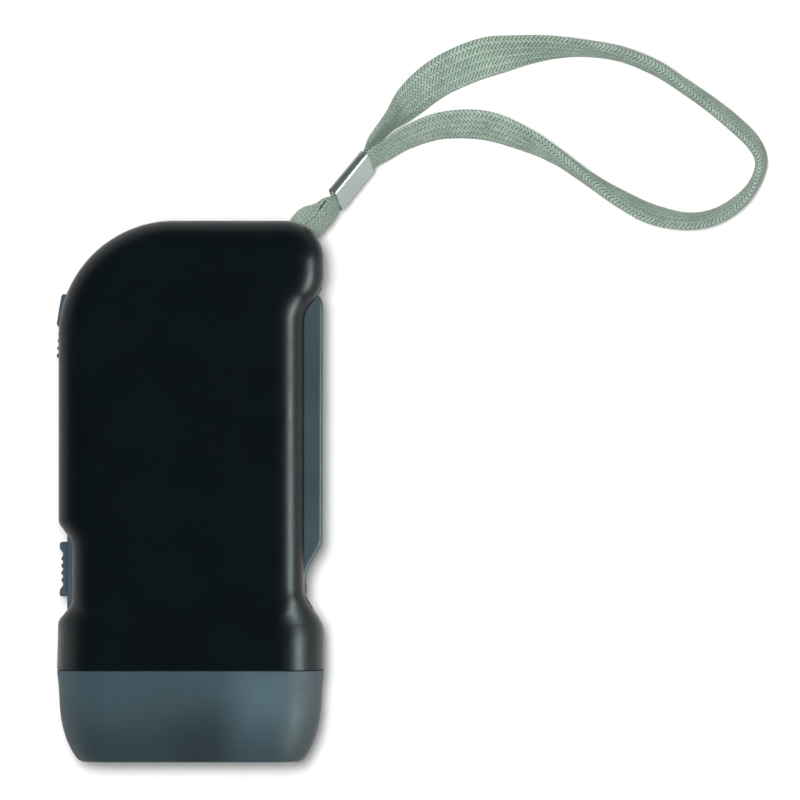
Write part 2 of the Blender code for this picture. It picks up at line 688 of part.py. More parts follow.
def sector_outline():
    """The sector's inward teeth and its rim, round the lever's pivot."""
    tip = SECTOR_RADIUS - TIP_SHARE * DRIVE_MODULE
    root = SECTOR_RADIUS + ROOT_SHARE * DRIVE_MODULE
    pitch = 2 * math.pi / SECTOR_TEETH
    mesh_angle = math.pi / 2 + DRIVE_ANGLE
    first = math.ceil((SECTOR_FIRST_ANGLE - DRIVE_ANGLE) / pitch)
    last = math.floor((SECTOR_LAST_ANGLE - DRIVE_ANGLE) / pitch)
    radii = [tip] + [tip + (root - tip) * s for s in FLANK_SHARES] + [root]
    side = [(r, half_tooth(r, SECTOR_TEETH, DRIVE_MODULE, -GEAR_PLAY)) for r in radii]
    inner = []
    for k in range(first, last + 1):
        middle = mesh_angle + pitch * k
        inner += [(r, middle - a) for r, a in side] + [(r, middle + a) for r, a in reversed(side)]
    start, end = math.pi / 2 + SECTOR_FIRST_ANGLE - pitch, inner[-1][1] + pitch / 2
    loop = [(tip, start)] + inner + [(tip, end)]
    steps = ROUND_SIDES // 2
    back_of_catch = end - CATCH_ANGLE
    loop += [(SECTOR_OUTER, end), (SECTOR_OUTER + CATCH_REACH, end - CATCH_ANGLE / 4)]
    loop += [(SECTOR_OUTER + CATCH_REACH, back_of_catch), (SECTOR_OUTER, back_of_catch)]
    loop += [(SECTOR_OUTER, back_of_catch + (start - back_of_catch) * k / steps)
             for k in range(1, steps + 1)]
    return np.array([PIVOT + r * np.array([math.cos(a), math.sin(a)]) for r, a in loop])


def notch_corners():
    """The switch notch's corners, from its tail end to its head end."""
    low = JOINT_Y + NOTCH_FROM_HEAD
    high = low + NOTCH_LENGTH
    return [
        (LEFT_X, high, NOTCH_OUTER_ROUND),
        (NOTCH_X, high - NOTCH_TAIL_RAMP, NOTCH_TAIL_ROUND),
        (NOTCH_X, low + NOTCH_HEAD_RAMP, NOTCH_HEAD_ROUND),
        (-HALF_WIDTH + LEFT_FLARE_INSET, low, NOTCH_OUTER_ROUND),
    ]


def body_corners():
    """The housing's outline corners, run on past the head joint so that it can be cut there."""
    grip_low = JOINT_Y + GRIP_FROM_HEAD
    grip_high = TAIL_Y - GRIP_FROM_TAIL
    past = JOINT_Y - HEAD_LENGTH
    flare_slope = LEFT_FLARE_INSET / NOTCH_FROM_HEAD
    return [
        (HALF_WIDTH, past, SMALLEST_ROUND),
        (HALF_WIDTH, grip_low, GRIP_ROUND),
        (GRIP_X, grip_low + GRIP_HEAD_RAMP, GRIP_ROUND),
        (GRIP_X, grip_high - GRIP_TAIL_RAMP, GRIP_ROUND),
        (HALF_WIDTH, grip_high, GRIP_ROUND),
        (HALF_WIDTH, TAIL_Y, TAIL_CORNER_RADIUS),
        (LEFT_X, TAIL_Y, TAIL_SWEEP_RADIUS),
        *notch_corners(),
        (-HALF_WIDTH - flare_slope * HEAD_LENGTH, past, SMALLEST_ROUND),
    ]


def dished_rings(depth, side, start, steps, arc_step):
    """Rings of the housing's skin, set in by a depth, from near the seam up to the flat side."""
    outline = rounded_outline(inset_corners(body_corners(), depth), arc_step)
    inner = rounded_outline(inset_corners(body_corners(), EDGE_ROUND), arc_step)
    share = tail_share(outline[:, 1])
    straight = np.clip(inner[:, 0], EDGE_ROUND - GRIP_X, GRIP_X - EDGE_ROUND)
    inner[:, 0] = straight + (inner[:, 0] - straight) * share
    full = HEAD_ROUND + (EDGE_ROUND - HEAD_ROUND) * share
    rings = [level(outline, side * start)]
    for k in range(steps + 1):
        turn = math.pi / 2 * k / steps
        blend = 1 - math.cos(turn)
        heights = HALF_DEPTH - full + (full - depth) * math.sin(turn)
        rings.append([(x, y, MID_Z + side * height) for (x, y), height
                      in zip(outline * (1 - blend) + inner * blend, heights)])
    return rings


def tail_share(y):
    """0 at the head end, where the long edges have their fullest round, and 1 past its run."""
    share = np.clip((y - JOINT_Y - HEAD_ROUND_END) / HEAD_ROUND_RUN, 0, 1)
    return share * share * (3 - 2 * share)


def lock_frame():
    """The lock slider's middle on the sweep's chord, and its way along the chord."""
    centre = np.array([LEFT_X + TAIL_SWEEP_RADIUS, TAIL_Y - TAIL_SWEEP_RADIUS])
    middle_y = TAIL_Y - LOCK_FROM_TAIL
    ends = []
    for y in (middle_y - LOCK_LENGTH / 2, middle_y + LOCK_LENGTH / 2):
        rise = max(y - centre[1], 0)
        ends.append(np.array([centre[0] - math.sqrt(TAIL_SWEEP_RADIUS ** 2 - rise ** 2), y]))
    along = (ends[1] - ends[0]) / np.linalg.norm(ends[1] - ends[0])
    return (ends[0] + ends[1]) / 2, along


def screw_places():
    """The five screws: two at the tail, one at the side and two at the head, lever side first."""
    places = [(share, TAIL_Y - inset) for share, inset in zip(TAIL_SCREW_SHARES, TAIL_SCREW_INSETS)]
    places.append((SIDE_SCREW_SHARE, JOINT_Y + SIDE_SCREW_FROM_JOINT))
    places += [(share, JOINT_Y + HEAD_SCREW_FROM_JOINT) for share in HEAD_SCREW_SHARES]
    return [np.array([share * HALF_WIDTH, y]) for share, y in places]


def pocket_outline(extra):
    """The strap pocket's plan, wider at its mouth, grown by an extra wall."""
    along = np.array([math.cos(POCKET_ANGLE), math.sin(POCKET_ANGLE)])
    back, mouth = POCKET_BACK_WIDTH / 2 + extra, POCKET_MOUTH_WIDTH / 2 + extra
    pairs = [(-POCKET_BACK - extra, -back), (POCKET_REACH, -mouth), (POCKET_REACH, mouth),
             (-POCKET_BACK - extra, back)]
    return local_points(STRAP_PIN, along, pairs)


def make_shell(name, side):
    """Half of the housing: a dished shell with bosses, seats, slots and the mouth for the head."""
    def span(a, b):
        return sorted((side * a, side * b))

    def tag(words):
        return f"{name}_{words}"

    shell = loft(name, dished_rings(0, side, SEAM / 2, EDGE_STEPS, ARC_STEP), "black_shell")
    cavity = loft(tag("cavity"), dished_rings(WALL, side, -OVERRUN, CAVITY_STEPS, COARSE_STEP))
    roof = ROOF + OVERRUN

    def keep_round(words, place, radius, start, sides=ROUND_SIDES):
        cut(cavity, rod(tag(words), place, radius, *span(start, roof), sides=sides))

    def hole(words, place, radius, start, end, sides=ROUND_SIDES):
        cut(shell, rod(tag(words), place, radius, *span(start, end), sides=sides))

    for k, place in enumerate(screw_places()):
        keep_round(f"screw_boss_{k}", place, SCREW_BOSS_RADIUS, SEAM / 2, SMALL_SIDES)
    pivot_boss = LEVER_WIDTH / 2 + CLEARANCE
    keep_round("pivot_boss", PIVOT, PIVOT_PIN_RADIUS + PIVOT_BOSS_WALL, pivot_boss)
    boss = AXLE_RADIUS + AXLE_BOSS_WALL
    if side < 0:
        boss_starts = (("clutch_boss", DRIVE_AXIS, -CLUTCH_BOTTOM + CLEARANCE),
                       ("idler_boss", IDLER_AXIS, -IDLER_BOTTOM + CLEARANCE),
                       ("flywheel_boss", FLYWHEEL_AXIS, -IDLER_BOTTOM + CLEARANCE))
        cell_top = ROOF - CELL_NEST_HEIGHT
        keep_round("cell_nest", CELL_PLACE, CELL_RADIUS + CLEARANCE + CELL_NEST_WALL, cell_top)
        top, low_s, high_s = switch_block_span()
        seat_low = (top - SWITCH_BASE_THICKNESS, low_s, -ROOF - OVERRUN)
        cut(cavity, box(tag("switch_seat"), seat_low, (top, high_s,
                                                       -SWITCH_BASE_WIDTH / 2 - CLEARANCE)))
        for k, place in enumerate(board_posts()):
            keep_round(f"board_post_{k}", place, BOARD_POST_RADIUS, ROOF - BOARD_HEIGHT, SMALL_SIDES)
    else:
        boss_starts = (("clutch_boss", DRIVE_AXIS, SECTOR_THICKNESS / 2 + CLEARANCE),
                       ("flywheel_boss", FLYWHEEL_AXIS, stator_top() + CLEARANCE))
    for words, place, start in boss_starts:
        keep_round(words, place, boss, start)
    pocket = prism(tag("pocket_block"), pocket_outline(POCKET_WALL),
                   *span(-OVERRUN, POCKET_HEIGHT / 2 + POCKET_WALL))
    cut(cavity, pocket)
    middle, along = lock_frame()
    low_end = -LOCK_LENGTH / 2 - CLEARANCE
    high_end = LOCK_LENGTH / 2 + LOCK_TRAVEL + CLEARANCE
    depth = LOCK_FLOOR + LOCK_POCKET_WALL
    seat = block_points(middle, along, low_end - LOCK_POCKET_WALL, high_end + LOCK_POCKET_WALL, -depth,
                        depth)
    cut(cavity, prism(tag("lock_block"), seat, *span(-OVERRUN,
                                                     LOCK_WIDTH / 2 + CLEARANCE + LOCK_POCKET_WALL)))
    cut(shell, cavity)

    mouth = FRONT_Y - OVERRUN
    wide = HALF_WIDTH + HEAD_LENGTH
    cut(shell, box(tag("mouth"), (-wide, mouth, -THICKNESS), (wide, JOINT_Y, THICKNESS)))
    for k, place in enumerate(screw_places()):
        if side < 0:
            seat_height = HALF_DEPTH - SCREW_SINK
            hole(f"screw_sink_{k}", place, SCREW_HEAD_RADIUS + CLEARANCE, seat_height,
                 HALF_DEPTH + OVERRUN)
            hole(f"screw_hole_{k}", place, SCREW_RADIUS + RUNNING_FIT, -OVERRUN, HALF_DEPTH,
                 SMALL_SIDES)
        else:
            tip = SCREW_LENGTH - (HALF_DEPTH - SCREW_SINK) + CLEARANCE
            hole(f"screw_pilot_{k}", place, SCREW_RADIUS + PRESS_FIT, -OVERRUN, tip, SMALL_SIDES)
    hole("pivot_seat", PIVOT, PIVOT_PIN_RADIUS + PRESS_FIT, 0, pivot_boss + AXLE_SEAT + CLEARANCE)
    for words, place, start in boss_starts:
        hole(words + "_seat", place, AXLE_RADIUS + PRESS_FIT, start - OVERRUN,
             start + AXLE_SEAT + CLEARANCE, SMALL_SIDES)
    if side < 0:
        hole("cell_seat", CELL_PLACE, CELL_RADIUS + CLEARANCE, cell_top - OVERRUN, ROOF)

    slot_half = LEVER_WIDTH / 2 + CLEARANCE
    slot_low = PIVOT[1] - LEVER_HUB_RADIUS - CLEARANCE
    slot_high = PIVOT[1] + LEVER_REACH + CLEARANCE + RUNNING_FIT
    slot_in = GRIP_X - LEVER_DEPTH
    low, high = span(-OVERRUN, slot_half)
    cut(shell, box(tag("lever_slot"), (slot_in, slot_low, low), (HALF_WIDTH + OVERRUN, slot_high,
                                                                 high)))
    cut(shell, prism(tag("strap_pocket"), pocket_outline(0), *span(-OVERRUN, POCKET_HEIGHT / 2)))
    hole("strap_pin_seat", STRAP_PIN, STRAP_PIN_RADIUS + PRESS_FIT, -OVERRUN,
         POCKET_HEIGHT / 2 + STRAP_PIN_END - CLEARANCE, SMALL_SIDES)
    room = block_points(middle, along, low_end, high_end, -LOCK_FLOOR, depth)
    cut(shell, prism(tag("lock_room"), room, *span(-OVERRUN, LOCK_WIDTH / 2 + CLEARANCE)))
    neck = LOCK_NECK_LENGTH / 2 + CLEARANCE
    way = block_points(middle, along, -neck, neck + LOCK_TRAVEL, -depth - OVERRUN, 0)
    cut(shell, prism(tag("lock_way"), way, *span(-OVERRUN, LOCK_NECK_WIDTH / 2 + CLEARANCE)))
    switch_y = JOINT_Y + SWITCH_FROM_HEAD + SWITCH_LENGTH / 2
    reach = SWITCH_NECK_LENGTH / 2 + CLEARANCE
    low, high = span(-OVERRUN, SWITCH_NECK_WIDTH / 2 + CLEARANCE)
    cut(shell, box(tag("switch_way"), (NOTCH_X - OVERRUN, switch_y - reach - SWITCH_TRAVEL, low),
                   (NOTCH_X + WALL + OVERRUN, switch_y + reach, high)))
    return shell


def switch_block_span():
    """The inner face of the fixed switch block, and where the block starts and ends along Y."""
    middle = JOINT_Y + SWITCH_FROM_HEAD + (SWITCH_LENGTH - SWITCH_TRAVEL) / 2
    return SWITCH_INSIDE, middle - SWITCH_BASE_LENGTH / 2, middle + SWITCH_BASE_LENGTH / 2


def board_posts():
    x, y = BOARD_WIDTH / 2 - BOARD_POST_INSET, BOARD_LENGTH / 2 - BOARD_POST_INSET
    return [BOARD_PLACE + np.array([-x, -y]), BOARD_PLACE + np.array([x, y])]


def stator_floor():
    return -SECTOR_THICKNESS / 2 + FLYWHEEL_SKIN + MAGNET_GAP + CLEARANCE


def stator_top():
    return -SECTOR_THICKNESS / 2 + FLYWHEEL_DEPTH


def head_section(inset, station):
    """One ring of the head across Y, set in from the full section."""
    half_x, half_z = HALF_WIDTH - inset, HALF_DEPTH - inset * HEIGHT_INSET_SHARE
    if inset < WALL + SPIGOT_WALL + OVERRUN:
        half_z = HALF_DEPTH - inset
    return oval_section(half_x, half_z, station)


def oval_section(half_x, half_z, station):
    """A ring across Y whose corners are quarter ellipses, concentric with the head's own."""
    flat_x, flat_z = GRIP_X - EDGE_ROUND, HALF_DEPTH - HEAD_ROUND
    quarter = np.radians(np.linspace(0, 90, EDGE_STEPS + 1))
    points = []
    for k, (a, b) in enumerate(SQUARE_SIGNS):
        turns = quarter if k % 2 else quarter[::-1]
        points += [(a * (flat_x + (half_x - flat_x) * math.cos(t)), station,
                    MID_Z + b * (flat_z + (half_z - flat_z) * math.sin(t))) for t in turns]
    return points


def plate_section(half_x, half_z, radius, station):
    """A ring across Y with rounded corners."""
    corners = [(a * half_x, b * half_z, radius) for a, b in SQUARE_SIGNS]
    return [(x, station, MID_Z + z) for x, z in rounded_outline(corners, COARSE_STEP)]


def front_half_height(half_x):
    """The half height of the front opening that goes with a half width."""
    return HALF_DEPTH - (HALF_WIDTH - half_x) * HEIGHT_INSET_SHARE


def make_head():
    """The smoke grey cup, its clear lens, the reflector, and two lamps on a board."""
    rear = JOINT_Y - HEAD_SEAM
    spigot_inset = WALL + CLEARANCE
    length = rear - FRONT_Y
    rings = [head_section(spigot_inset, JOINT_Y + HEAD_SPIGOT), head_section(spigot_inset, rear)]
    rings += [head_section(b * HEAD_FRONT_INSET, rear - a * length) for a, b in HEAD_STATION_SHARES]
    cup = loft("head_cup", rings, "smoke_head")
    inner = spigot_inset + SPIGOT_WALL
    step = rear - SPIGOT_RUN
    hollow = [head_section(inner, JOINT_Y + HEAD_SPIGOT + OVERRUN), head_section(inner, step)]
    for a, b in HEAD_STATION_SHARES:
        if rear - a * length < step - SPIGOT_RUN:
            hollow.append(head_section(max(b * HEAD_FRONT_INSET + WALL, 0), rear - a * length))
    hollow = [r for r in hollow if r[0][1] > FRONT_Y + LENS_THICKNESS + CLEARANCE]
    front_x = HALF_WIDTH - HEAD_FRONT_INSET - LENS_EDGE
    seat_x = front_x - LENS_SEAT
    seat_y = FRONT_Y + LENS_THICKNESS + CLEARANCE
    cut(cup, loft("head_hollow", hollow))
    opening = [oval_section(seat_x, front_half_height(seat_x), y)
               for y in (hollow[-1][0][1] + OVERRUN, FRONT_Y - OVERRUN)]
    cut(cup, loft("head_opening", opening))
    pocket = [oval_section(front_x, front_half_height(front_x), y)
              for y in (seat_y, FRONT_Y - OVERRUN)]
    cut(cup, loft("lens_pocket", pocket))
    lens_x = front_x - RUNNING_FIT
    lens_back = seat_y - RUNNING_FIT
    loft("front_lens", [oval_section(lens_x, front_half_height(lens_x), y)
                        for y in (lens_back, lens_back - LENS_THICKNESS)],
         "clear_lens")

    plate_front = seat_y + CLEARANCE
    plate_back = plate_front + REFLECTOR_PLATE
    plate_x = seat_x - CLEARANCE
    reflector = loft("reflector", [oval_section(plate_x, front_half_height(plate_x), y)
                                   for y in (plate_front, plate_back)],
                     "chrome")
    bowl_back = plate_front + BOWL_DEPTH
    throat = LAMP_RADIUS + CLEARANCE
    mouth = min(BOWL_RADIUS, (plate_x - BOWL_WEB) / 2,
                front_half_height(plate_x) - REFLECTOR_WALL + RUNNING_FIT)
    sides = (-mouth - BOWL_WEB / 2, mouth + BOWL_WEB / 2)
    for k, x in enumerate(sides):
        join(reflector, bowl(f"bowl_{k}", x, plate_front + PRESS_FIT, bowl_back, throat, mouth,
                             REFLECTOR_WALL))
    for k, x in enumerate(sides):
        cut(reflector, bowl(f"bowl_hollow_{k}", x, plate_front - OVERRUN, bowl_back + OVERRUN, throat,
                            mouth, 0))
    lamp_front = bowl_back + RUNNING_FIT
    board_front = lamp_front + LAMP_FLANGE + RUNNING_FIT
    for name, x in zip(("lamp_left", "lamp_right"), sides):
        make_lamp(name, x, board_front - RUNNING_FIT)
    half = LAMP_BOARD_WIDTH / 2, LAMP_BOARD_HEIGHT / 2
    loft("lamp_board", [plate_section(*half, WALL, y) for y in (board_front,
                                                                board_front + LAMP_BOARD_THICKNESS)],
         "board_green")


def bowl(name, x, front, back, throat, mouth, wall):
    """A round dish on a Y axis whose radius follows the square root of its depth."""
    profile = []
    for k in range(BOWL_STEPS + 1):
        y = back + (front - back) * k / BOWL_STEPS
        depth = max(min((back - y - (0 if wall else OVERRUN)) / BOWL_DEPTH, 1), 0)
        profile.append((math.sqrt(throat ** 2 + (mouth ** 2 - throat ** 2) * depth) + wall, y))
    return turned(name, (x, 0), profile, None, BOWL_SIDES, (0, 1, 0))


def make_lamp(name, x, back):
    """A round lamp on a Y axis: flange, barrel and dome."""
    step = back - LAMP_FLANGE
    top = step - LAMP_LENGTH
    profile = [(LAMP_FLANGE_RADIUS, back), (LAMP_FLANGE_RADIUS, step), (LAMP_RADIUS, step),
               (LAMP_RADIUS, top)]
    for turn in DOME_TURNS:
        profile.append((LAMP_RADIUS * math.cos(turn), top - LAMP_RADIUS * math.sin(turn)))
    turned(name, (x, 0), profile, "lamp_clear", SMALL_SIDES, (0, 1, 0))


def lever_corners(inset=0.0):
    """The lever's plan: outer face, rounded tail, inner edge and the heel round the pivot."""
    face = HALF_WIDTH - LEVER_FACE_INSET
    tail = PIVOT[1] + LEVER_REACH
    inner = face - LEVER_DEPTH
    heel = PIVOT[1] - LEVER_HUB_RADIUS
    corners = [
        (PIVOT[0] + LEVER_HUB_RADIUS, heel, LEVER_HUB_RADIUS),
        (PIVOT[0] + LEVER_HUB_RADIUS, PIVOT[1] + LEVER_HEEL, LEVER_HEEL_ROUND),
        (face - LEVER_FACE_INSET, PIVOT[1] + LEVER_NECK, LEVER_TAIL_ROUND),
        (face, tail, LEVER_TAIL_ROUND),
        (inner, tail, SMALLEST_ROUND),
        (inner, PIVOT[1] + LEVER_NECK, LEVER_TAIL_ROUND),
        (PIVOT[0] - LEVER_HUB_RADIUS, PIVOT[1] + LEVER_HEEL, LEVER_TAIL_ROUND),
        (PIVOT[0] - LEVER_HUB_RADIUS, heel, LEVER_HUB_RADIUS),
    ]
    return inset_corners(corners, inset) if inset else corners


def make_lever():
    """The press lever, a channel open to the inside, with its toothed sector and two pins."""
    empty = axis_empty("lever_axis", PIVOT)
    home = (PIVOT[0], PIVOT[1], MID_Z)
    half = LEVER_WIDTH / 2
    levels = [(half, LEVER_EDGE)] + [(half - LEVER_EDGE * (1 - math.sin(t)),
                                      LEVER_EDGE * (1 - math.cos(t)))
                                     for t in (math.radians(45), 0)]
    stack = [(-z, d) for z, d in levels] + [(z, d) for z, d in reversed(levels)]
    rings = [level(rounded_outline(lever_corners(d), LEVER_STEP), z) for z, d in stack]
    lever = loft("press_lever", rings, "grey_lever", origin=home, parent=empty)
    face = HALF_WIDTH - LEVER_FACE_INSET
    inner = face - LEVER_DEPTH
    tail = PIVOT[1] + LEVER_REACH
    gap = half - LEVER_CHEEK
    low = PIVOT[1] - LEVER_HUB_RADIUS - OVERRUN
    channel = [(inner - LEVER_HUB_RADIUS - OVERRUN, low, SMALLEST_ROUND),
               (PIVOT[0] + LEVER_HUB_RADIUS + OVERRUN, low, SMALLEST_ROUND),
               (PIVOT[0] + LEVER_HUB_RADIUS + OVERRUN, PIVOT[1], SMALLEST_ROUND),
               (PIVOT[0] + LEVER_HUB_RADIUS - LEVER_WALL, PIVOT[1] + LEVER_HEEL, LEVER_HUB_RADIUS),
               (face - LEVER_WALL, PIVOT[1] + LEVER_NECK + LEVER_WALL, LEVER_HUB_RADIUS),
               (face - LEVER_WALL, tail - LEVER_TAIL_WALL, LEVER_WALL),
               (inner - LEVER_HUB_RADIUS - OVERRUN, tail - LEVER_TAIL_WALL, SMALLEST_ROUND)]
    cut(lever, prism("lever_channel", rounded_outline(channel, COARSE_STEP), -gap, gap))
    cut(lever, rod("lever_bore", PIVOT, PIVOT_PIN_RADIUS + RUNNING_FIT, -half - OVERRUN,
                   half + OVERRUN))

    sector = prism("sector_gear", sector_outline(), -SECTOR_THICKNESS / 2, SECTOR_THICKNESS / 2,
                   "white_nylon",
                   origin=home, parent=empty)
    foot_face = face - LEVER_WALL - CLEARANCE
    foot_tail = tail - LEVER_TAIL_WALL - CLEARANCE
    tip = SECTOR_RADIUS - TIP_SHARE * DRIVE_MODULE
    foot_low = foot_tail - SECTOR_FOOT_LENGTH
    foot = [(foot_face, foot_low, SMALLEST_ROUND), (foot_face, foot_tail, LEVER_WALL),
            (inner + SMALLEST_ROUND, foot_tail, SMALLEST_ROUND),
            (inner + SMALLEST_ROUND, foot_low, SMALLEST_ROUND)]
    foot_half = SECTOR_FOOT_HEIGHT / 2
    join(sector, prism("sector_foot", rounded_outline(foot, COARSE_STEP), -foot_half, foot_half))
    arm_out = SECTOR_OUTER - PRESS_FIT
    arm = [PIVOT + r * np.array([-math.sin(a), math.cos(a)]) for r, a in
           ((tip + PRESS_FIT, SECTOR_FIRST_ANGLE / 2), (tip + PRESS_FIT, -SECTOR_FIRST_ANGLE / 2),
            (arm_out, -SECTOR_FIRST_ANGLE / 2),
            (arm_out, SECTOR_FIRST_ANGLE / 2))]
    join(sector, prism("sector_arm", arm, -SECTOR_THICKNESS / 2 - PRESS_FIT,
                       SECTOR_THICKNESS / 2 + PRESS_FIT))
    middle = np.array([(foot_face + inner + SMALLEST_ROUND) / 2, (foot_low + foot_tail) / 2])
    for k, y in enumerate((-SECTOR_PIN_SPACING / 2, SECTOR_PIN_SPACING / 2)):
        place = middle + np.array([0, y])
        cut(sector, rod(f"sector_bore_{k}", place, SECTOR_PIN_RADIUS + PRESS_FIT, -half, half,
                        sides=SMALL_SIDES))
        cut(lever, rod(f"lever_pin_hole_{k}", place, SECTOR_PIN_RADIUS + PRESS_FIT, -half - OVERRUN,
                       half + OVERRUN, sides=SMALL_SIDES))
        rod(f"sector_pin_{k + 1}", place, SECTOR_PIN_RADIUS, -half, half, "steel", SMALL_SIDES,
            origin=home, parent=empty)


def make_train():
    """The drive pinion, the freewheel gear, the idler and the flywheel with its magnet."""
    axle = AXLE_RADIUS + RUNNING_FIT
    drive = axis_empty("drive_axis", DRIVE_AXIS)
    home = (*DRIVE_AXIS, MID_Z)
    mesh_angle = math.pi / 2 + DRIVE_ANGLE
    half = SECTOR_THICKNESS / 2
    points = gear_outline(DRIVE_AXIS, DRIVE_TEETH, DRIVE_MODULE, mesh_angle, PINION_FLANK_SHARES,
                          ROOT_NARROW_SHARE)
    pinion = prism("drive_pinion", points, -half, half, "white_nylon", origin=home, parent=drive)
    ratchet_top = CLUTCH_TOP - CLEARANCE
    ratchet_low = CLUTCH_BOTTOM + CLUTCH_WEB + CLEARANCE
    neck = DRIVE_RADIUS - ROOT_SHARE * DRIVE_MODULE
    join(pinion, rod("drive_neck", DRIVE_AXIS, neck - PRESS_FIT, ratchet_low + PRESS_FIT,
                     -half + PRESS_FIT))
    saw = []
    for k in range(RATCHET_TEETH):
        for share, radius in ((0, RATCHET_RADIUS), (0, RATCHET_RADIUS - RATCHET_DEPTH),
                              (0.5, RATCHET_RADIUS - RATCHET_DEPTH / 2)):
            turn = 2 * math.pi * (k + share) / RATCHET_TEETH
            turn -= 0 if radius == RATCHET_RADIUS else ARC_STEP / RATCHET_TEETH
            saw.append(DRIVE_AXIS + radius * np.array([math.cos(-turn), math.sin(-turn)]))
    join(pinion, prism("ratchet_wheel", saw[::-1], ratchet_low, ratchet_top))
    cut(pinion, rod("drive_bore", DRIVE_AXIS, axle, ratchet_low - OVERRUN, half + OVERRUN))

    clutch = axis_empty("clutch_axis", DRIVE_AXIS)
    idler_way = IDLER_AXIS - DRIVE_AXIS
    idler_angle = math.atan2(idler_way[1], idler_way[0])
    points = gear_outline(DRIVE_AXIS, CLUTCH_TEETH, TRAIN_MODULE, idler_angle)
    gear = prism("clutch_gear", points, CLUTCH_BOTTOM, CLUTCH_TOP, "white_nylon", origin=home,
                 parent=clutch)
    recess = CLUTCH_RADIUS - ROOT_SHARE * TRAIN_MODULE - CLUTCH_RIM
    web = CLUTCH_BOTTOM + CLUTCH_WEB
    cut(gear, rod("clutch_recess", DRIVE_AXIS, recess, web, CLUTCH_TOP + OVERRUN))
    cut(gear, rod("clutch_bore", DRIVE_AXIS, axle, CLUTCH_BOTTOM - OVERRUN, web + OVERRUN))
    for k in range(PAWL_COUNT):
        join(gear, prism(f"pawl_{k}", pawl_outline(2 * math.pi * k / PAWL_COUNT, recess),
                         web - PRESS_FIT, ratchet_top))

    idler = axis_empty("idler_axis", IDLER_AXIS)
    home = (*IDLER_AXIS, MID_Z)
    fly_way = FLYWHEEL_AXIS - IDLER_AXIS
    fly_angle = math.atan2(fly_way[1], fly_way[0])
    points = gear_outline(IDLER_AXIS, IDLER_TEETH, TRAIN_MODULE, fly_angle)
    wheel = prism("idler_gear", points, IDLER_BOTTOM, IDLER_TOP, "white_nylon", origin=home,
                  parent=idler)
    first = idler_angle + math.pi + math.pi / PINION_TEETH
    points = gear_outline(IDLER_AXIS, PINION_TEETH, TRAIN_MODULE, first, PINION_FLANK_SHARES,
                          ROOT_NARROW_SHARE)
    join(wheel, prism("idler_pinion", points, IDLER_TOP - PRESS_FIT, CLUTCH_TOP))
    cut(wheel, rod("idler_bore", IDLER_AXIS, axle, IDLER_BOTTOM - OVERRUN, CLUTCH_TOP + OVERRUN))

    make_flywheel(fly_angle + math.pi + math.pi / PINION_TEETH, axle)


def pawl_outline(start, recess):
    """A sprung arm from the clutch gear's rim to just clear of the ratchet's tips."""
    tip = RATCHET_RADIUS + RUNNING_FIT
    outer, inner = [], []
    for k in range(PAWL_STEPS + 1):
        share = k / PAWL_STEPS
        turn = start + PAWL_SWEEP * share
        radius = recess + PRESS_FIT + (tip + PAWL_THICKNESS - recess - PRESS_FIT) * share
        ray = np.array([math.cos(turn), math.sin(turn)])
        outer.append(DRIVE_AXIS + ray * radius)
        inner.append(DRIVE_AXIS + ray * max(radius - PAWL_THICKNESS, tip))
    return outer + inner[::-1]


def make_flywheel(first_tooth, axle):
    """A steel cup with a ring magnet, on a nylon hub whose foot is the last pinion."""
    empty = axis_empty("flywheel_axis", FLYWHEEL_AXIS)
    home = (*FLYWHEEL_AXIS, MID_Z)
    where = {"origin": home, "parent": empty}
    floor = -SECTOR_THICKNESS / 2
    points = gear_outline(FLYWHEEL_AXIS, PINION_TEETH, TRAIN_MODULE, first_tooth, PINION_FLANK_SHARES,
                          ROOT_NARROW_SHARE)
    hub = prism("flywheel_hub", points, IDLER_BOTTOM, IDLER_TOP, "white_nylon", **where)
    root = PINION_RADIUS - ROOT_SHARE * TRAIN_MODULE
    flange_top = floor - PRESS_FIT
    profile = [(root, IDLER_TOP - PRESS_FIT), (root, IDLER_TOP + LAYER_GAP),
               (HUB_RADIUS, IDLER_TOP + LAYER_GAP * 2),
               (HUB_RADIUS, flange_top - HUB_FLANGE), (HUB_FLANGE_RADIUS, flange_top - HUB_FLANGE),
               (HUB_FLANGE_RADIUS, flange_top), (HUB_RADIUS, flange_top),
               (HUB_RADIUS, floor + FLYWHEEL_SKIN + CLEARANCE)]
    join(hub, turned("flywheel_spindle", FLYWHEEL_AXIS, profile))
    cut(hub, rod("flywheel_bore", FLYWHEEL_AXIS, axle, IDLER_BOTTOM - OVERRUN, floor + FLYWHEEL_DEPTH,
                 sides=SMALL_SIDES))
    bore = HUB_RADIUS + PRESS_FIT
    inside = FLYWHEEL_RADIUS - FLYWHEEL_SKIN
    high = floor + FLYWHEEL_DEPTH - OVERRUN
    profile = [(bore, floor), (FLYWHEEL_RADIUS, floor), (FLYWHEEL_RADIUS, high), (inside, high),
               (inside, floor + FLYWHEEL_SKIN), (bore, floor + FLYWHEEL_SKIN), (bore, floor)]
    turned("flywheel_cup", FLYWHEEL_AXIS, profile, "steel", **where)
    outer = inside - PRESS_FIT
    bored("ring_magnet", FLYWHEEL_AXIS, outer, outer - MAGNET_THICKNESS,
          floor + FLYWHEEL_SKIN + PRESS_FIT,
          high - CLEARANCE, "magnet", **where)
    make_stator(outer - MAGNET_THICKNESS - MAGNET_GAP)


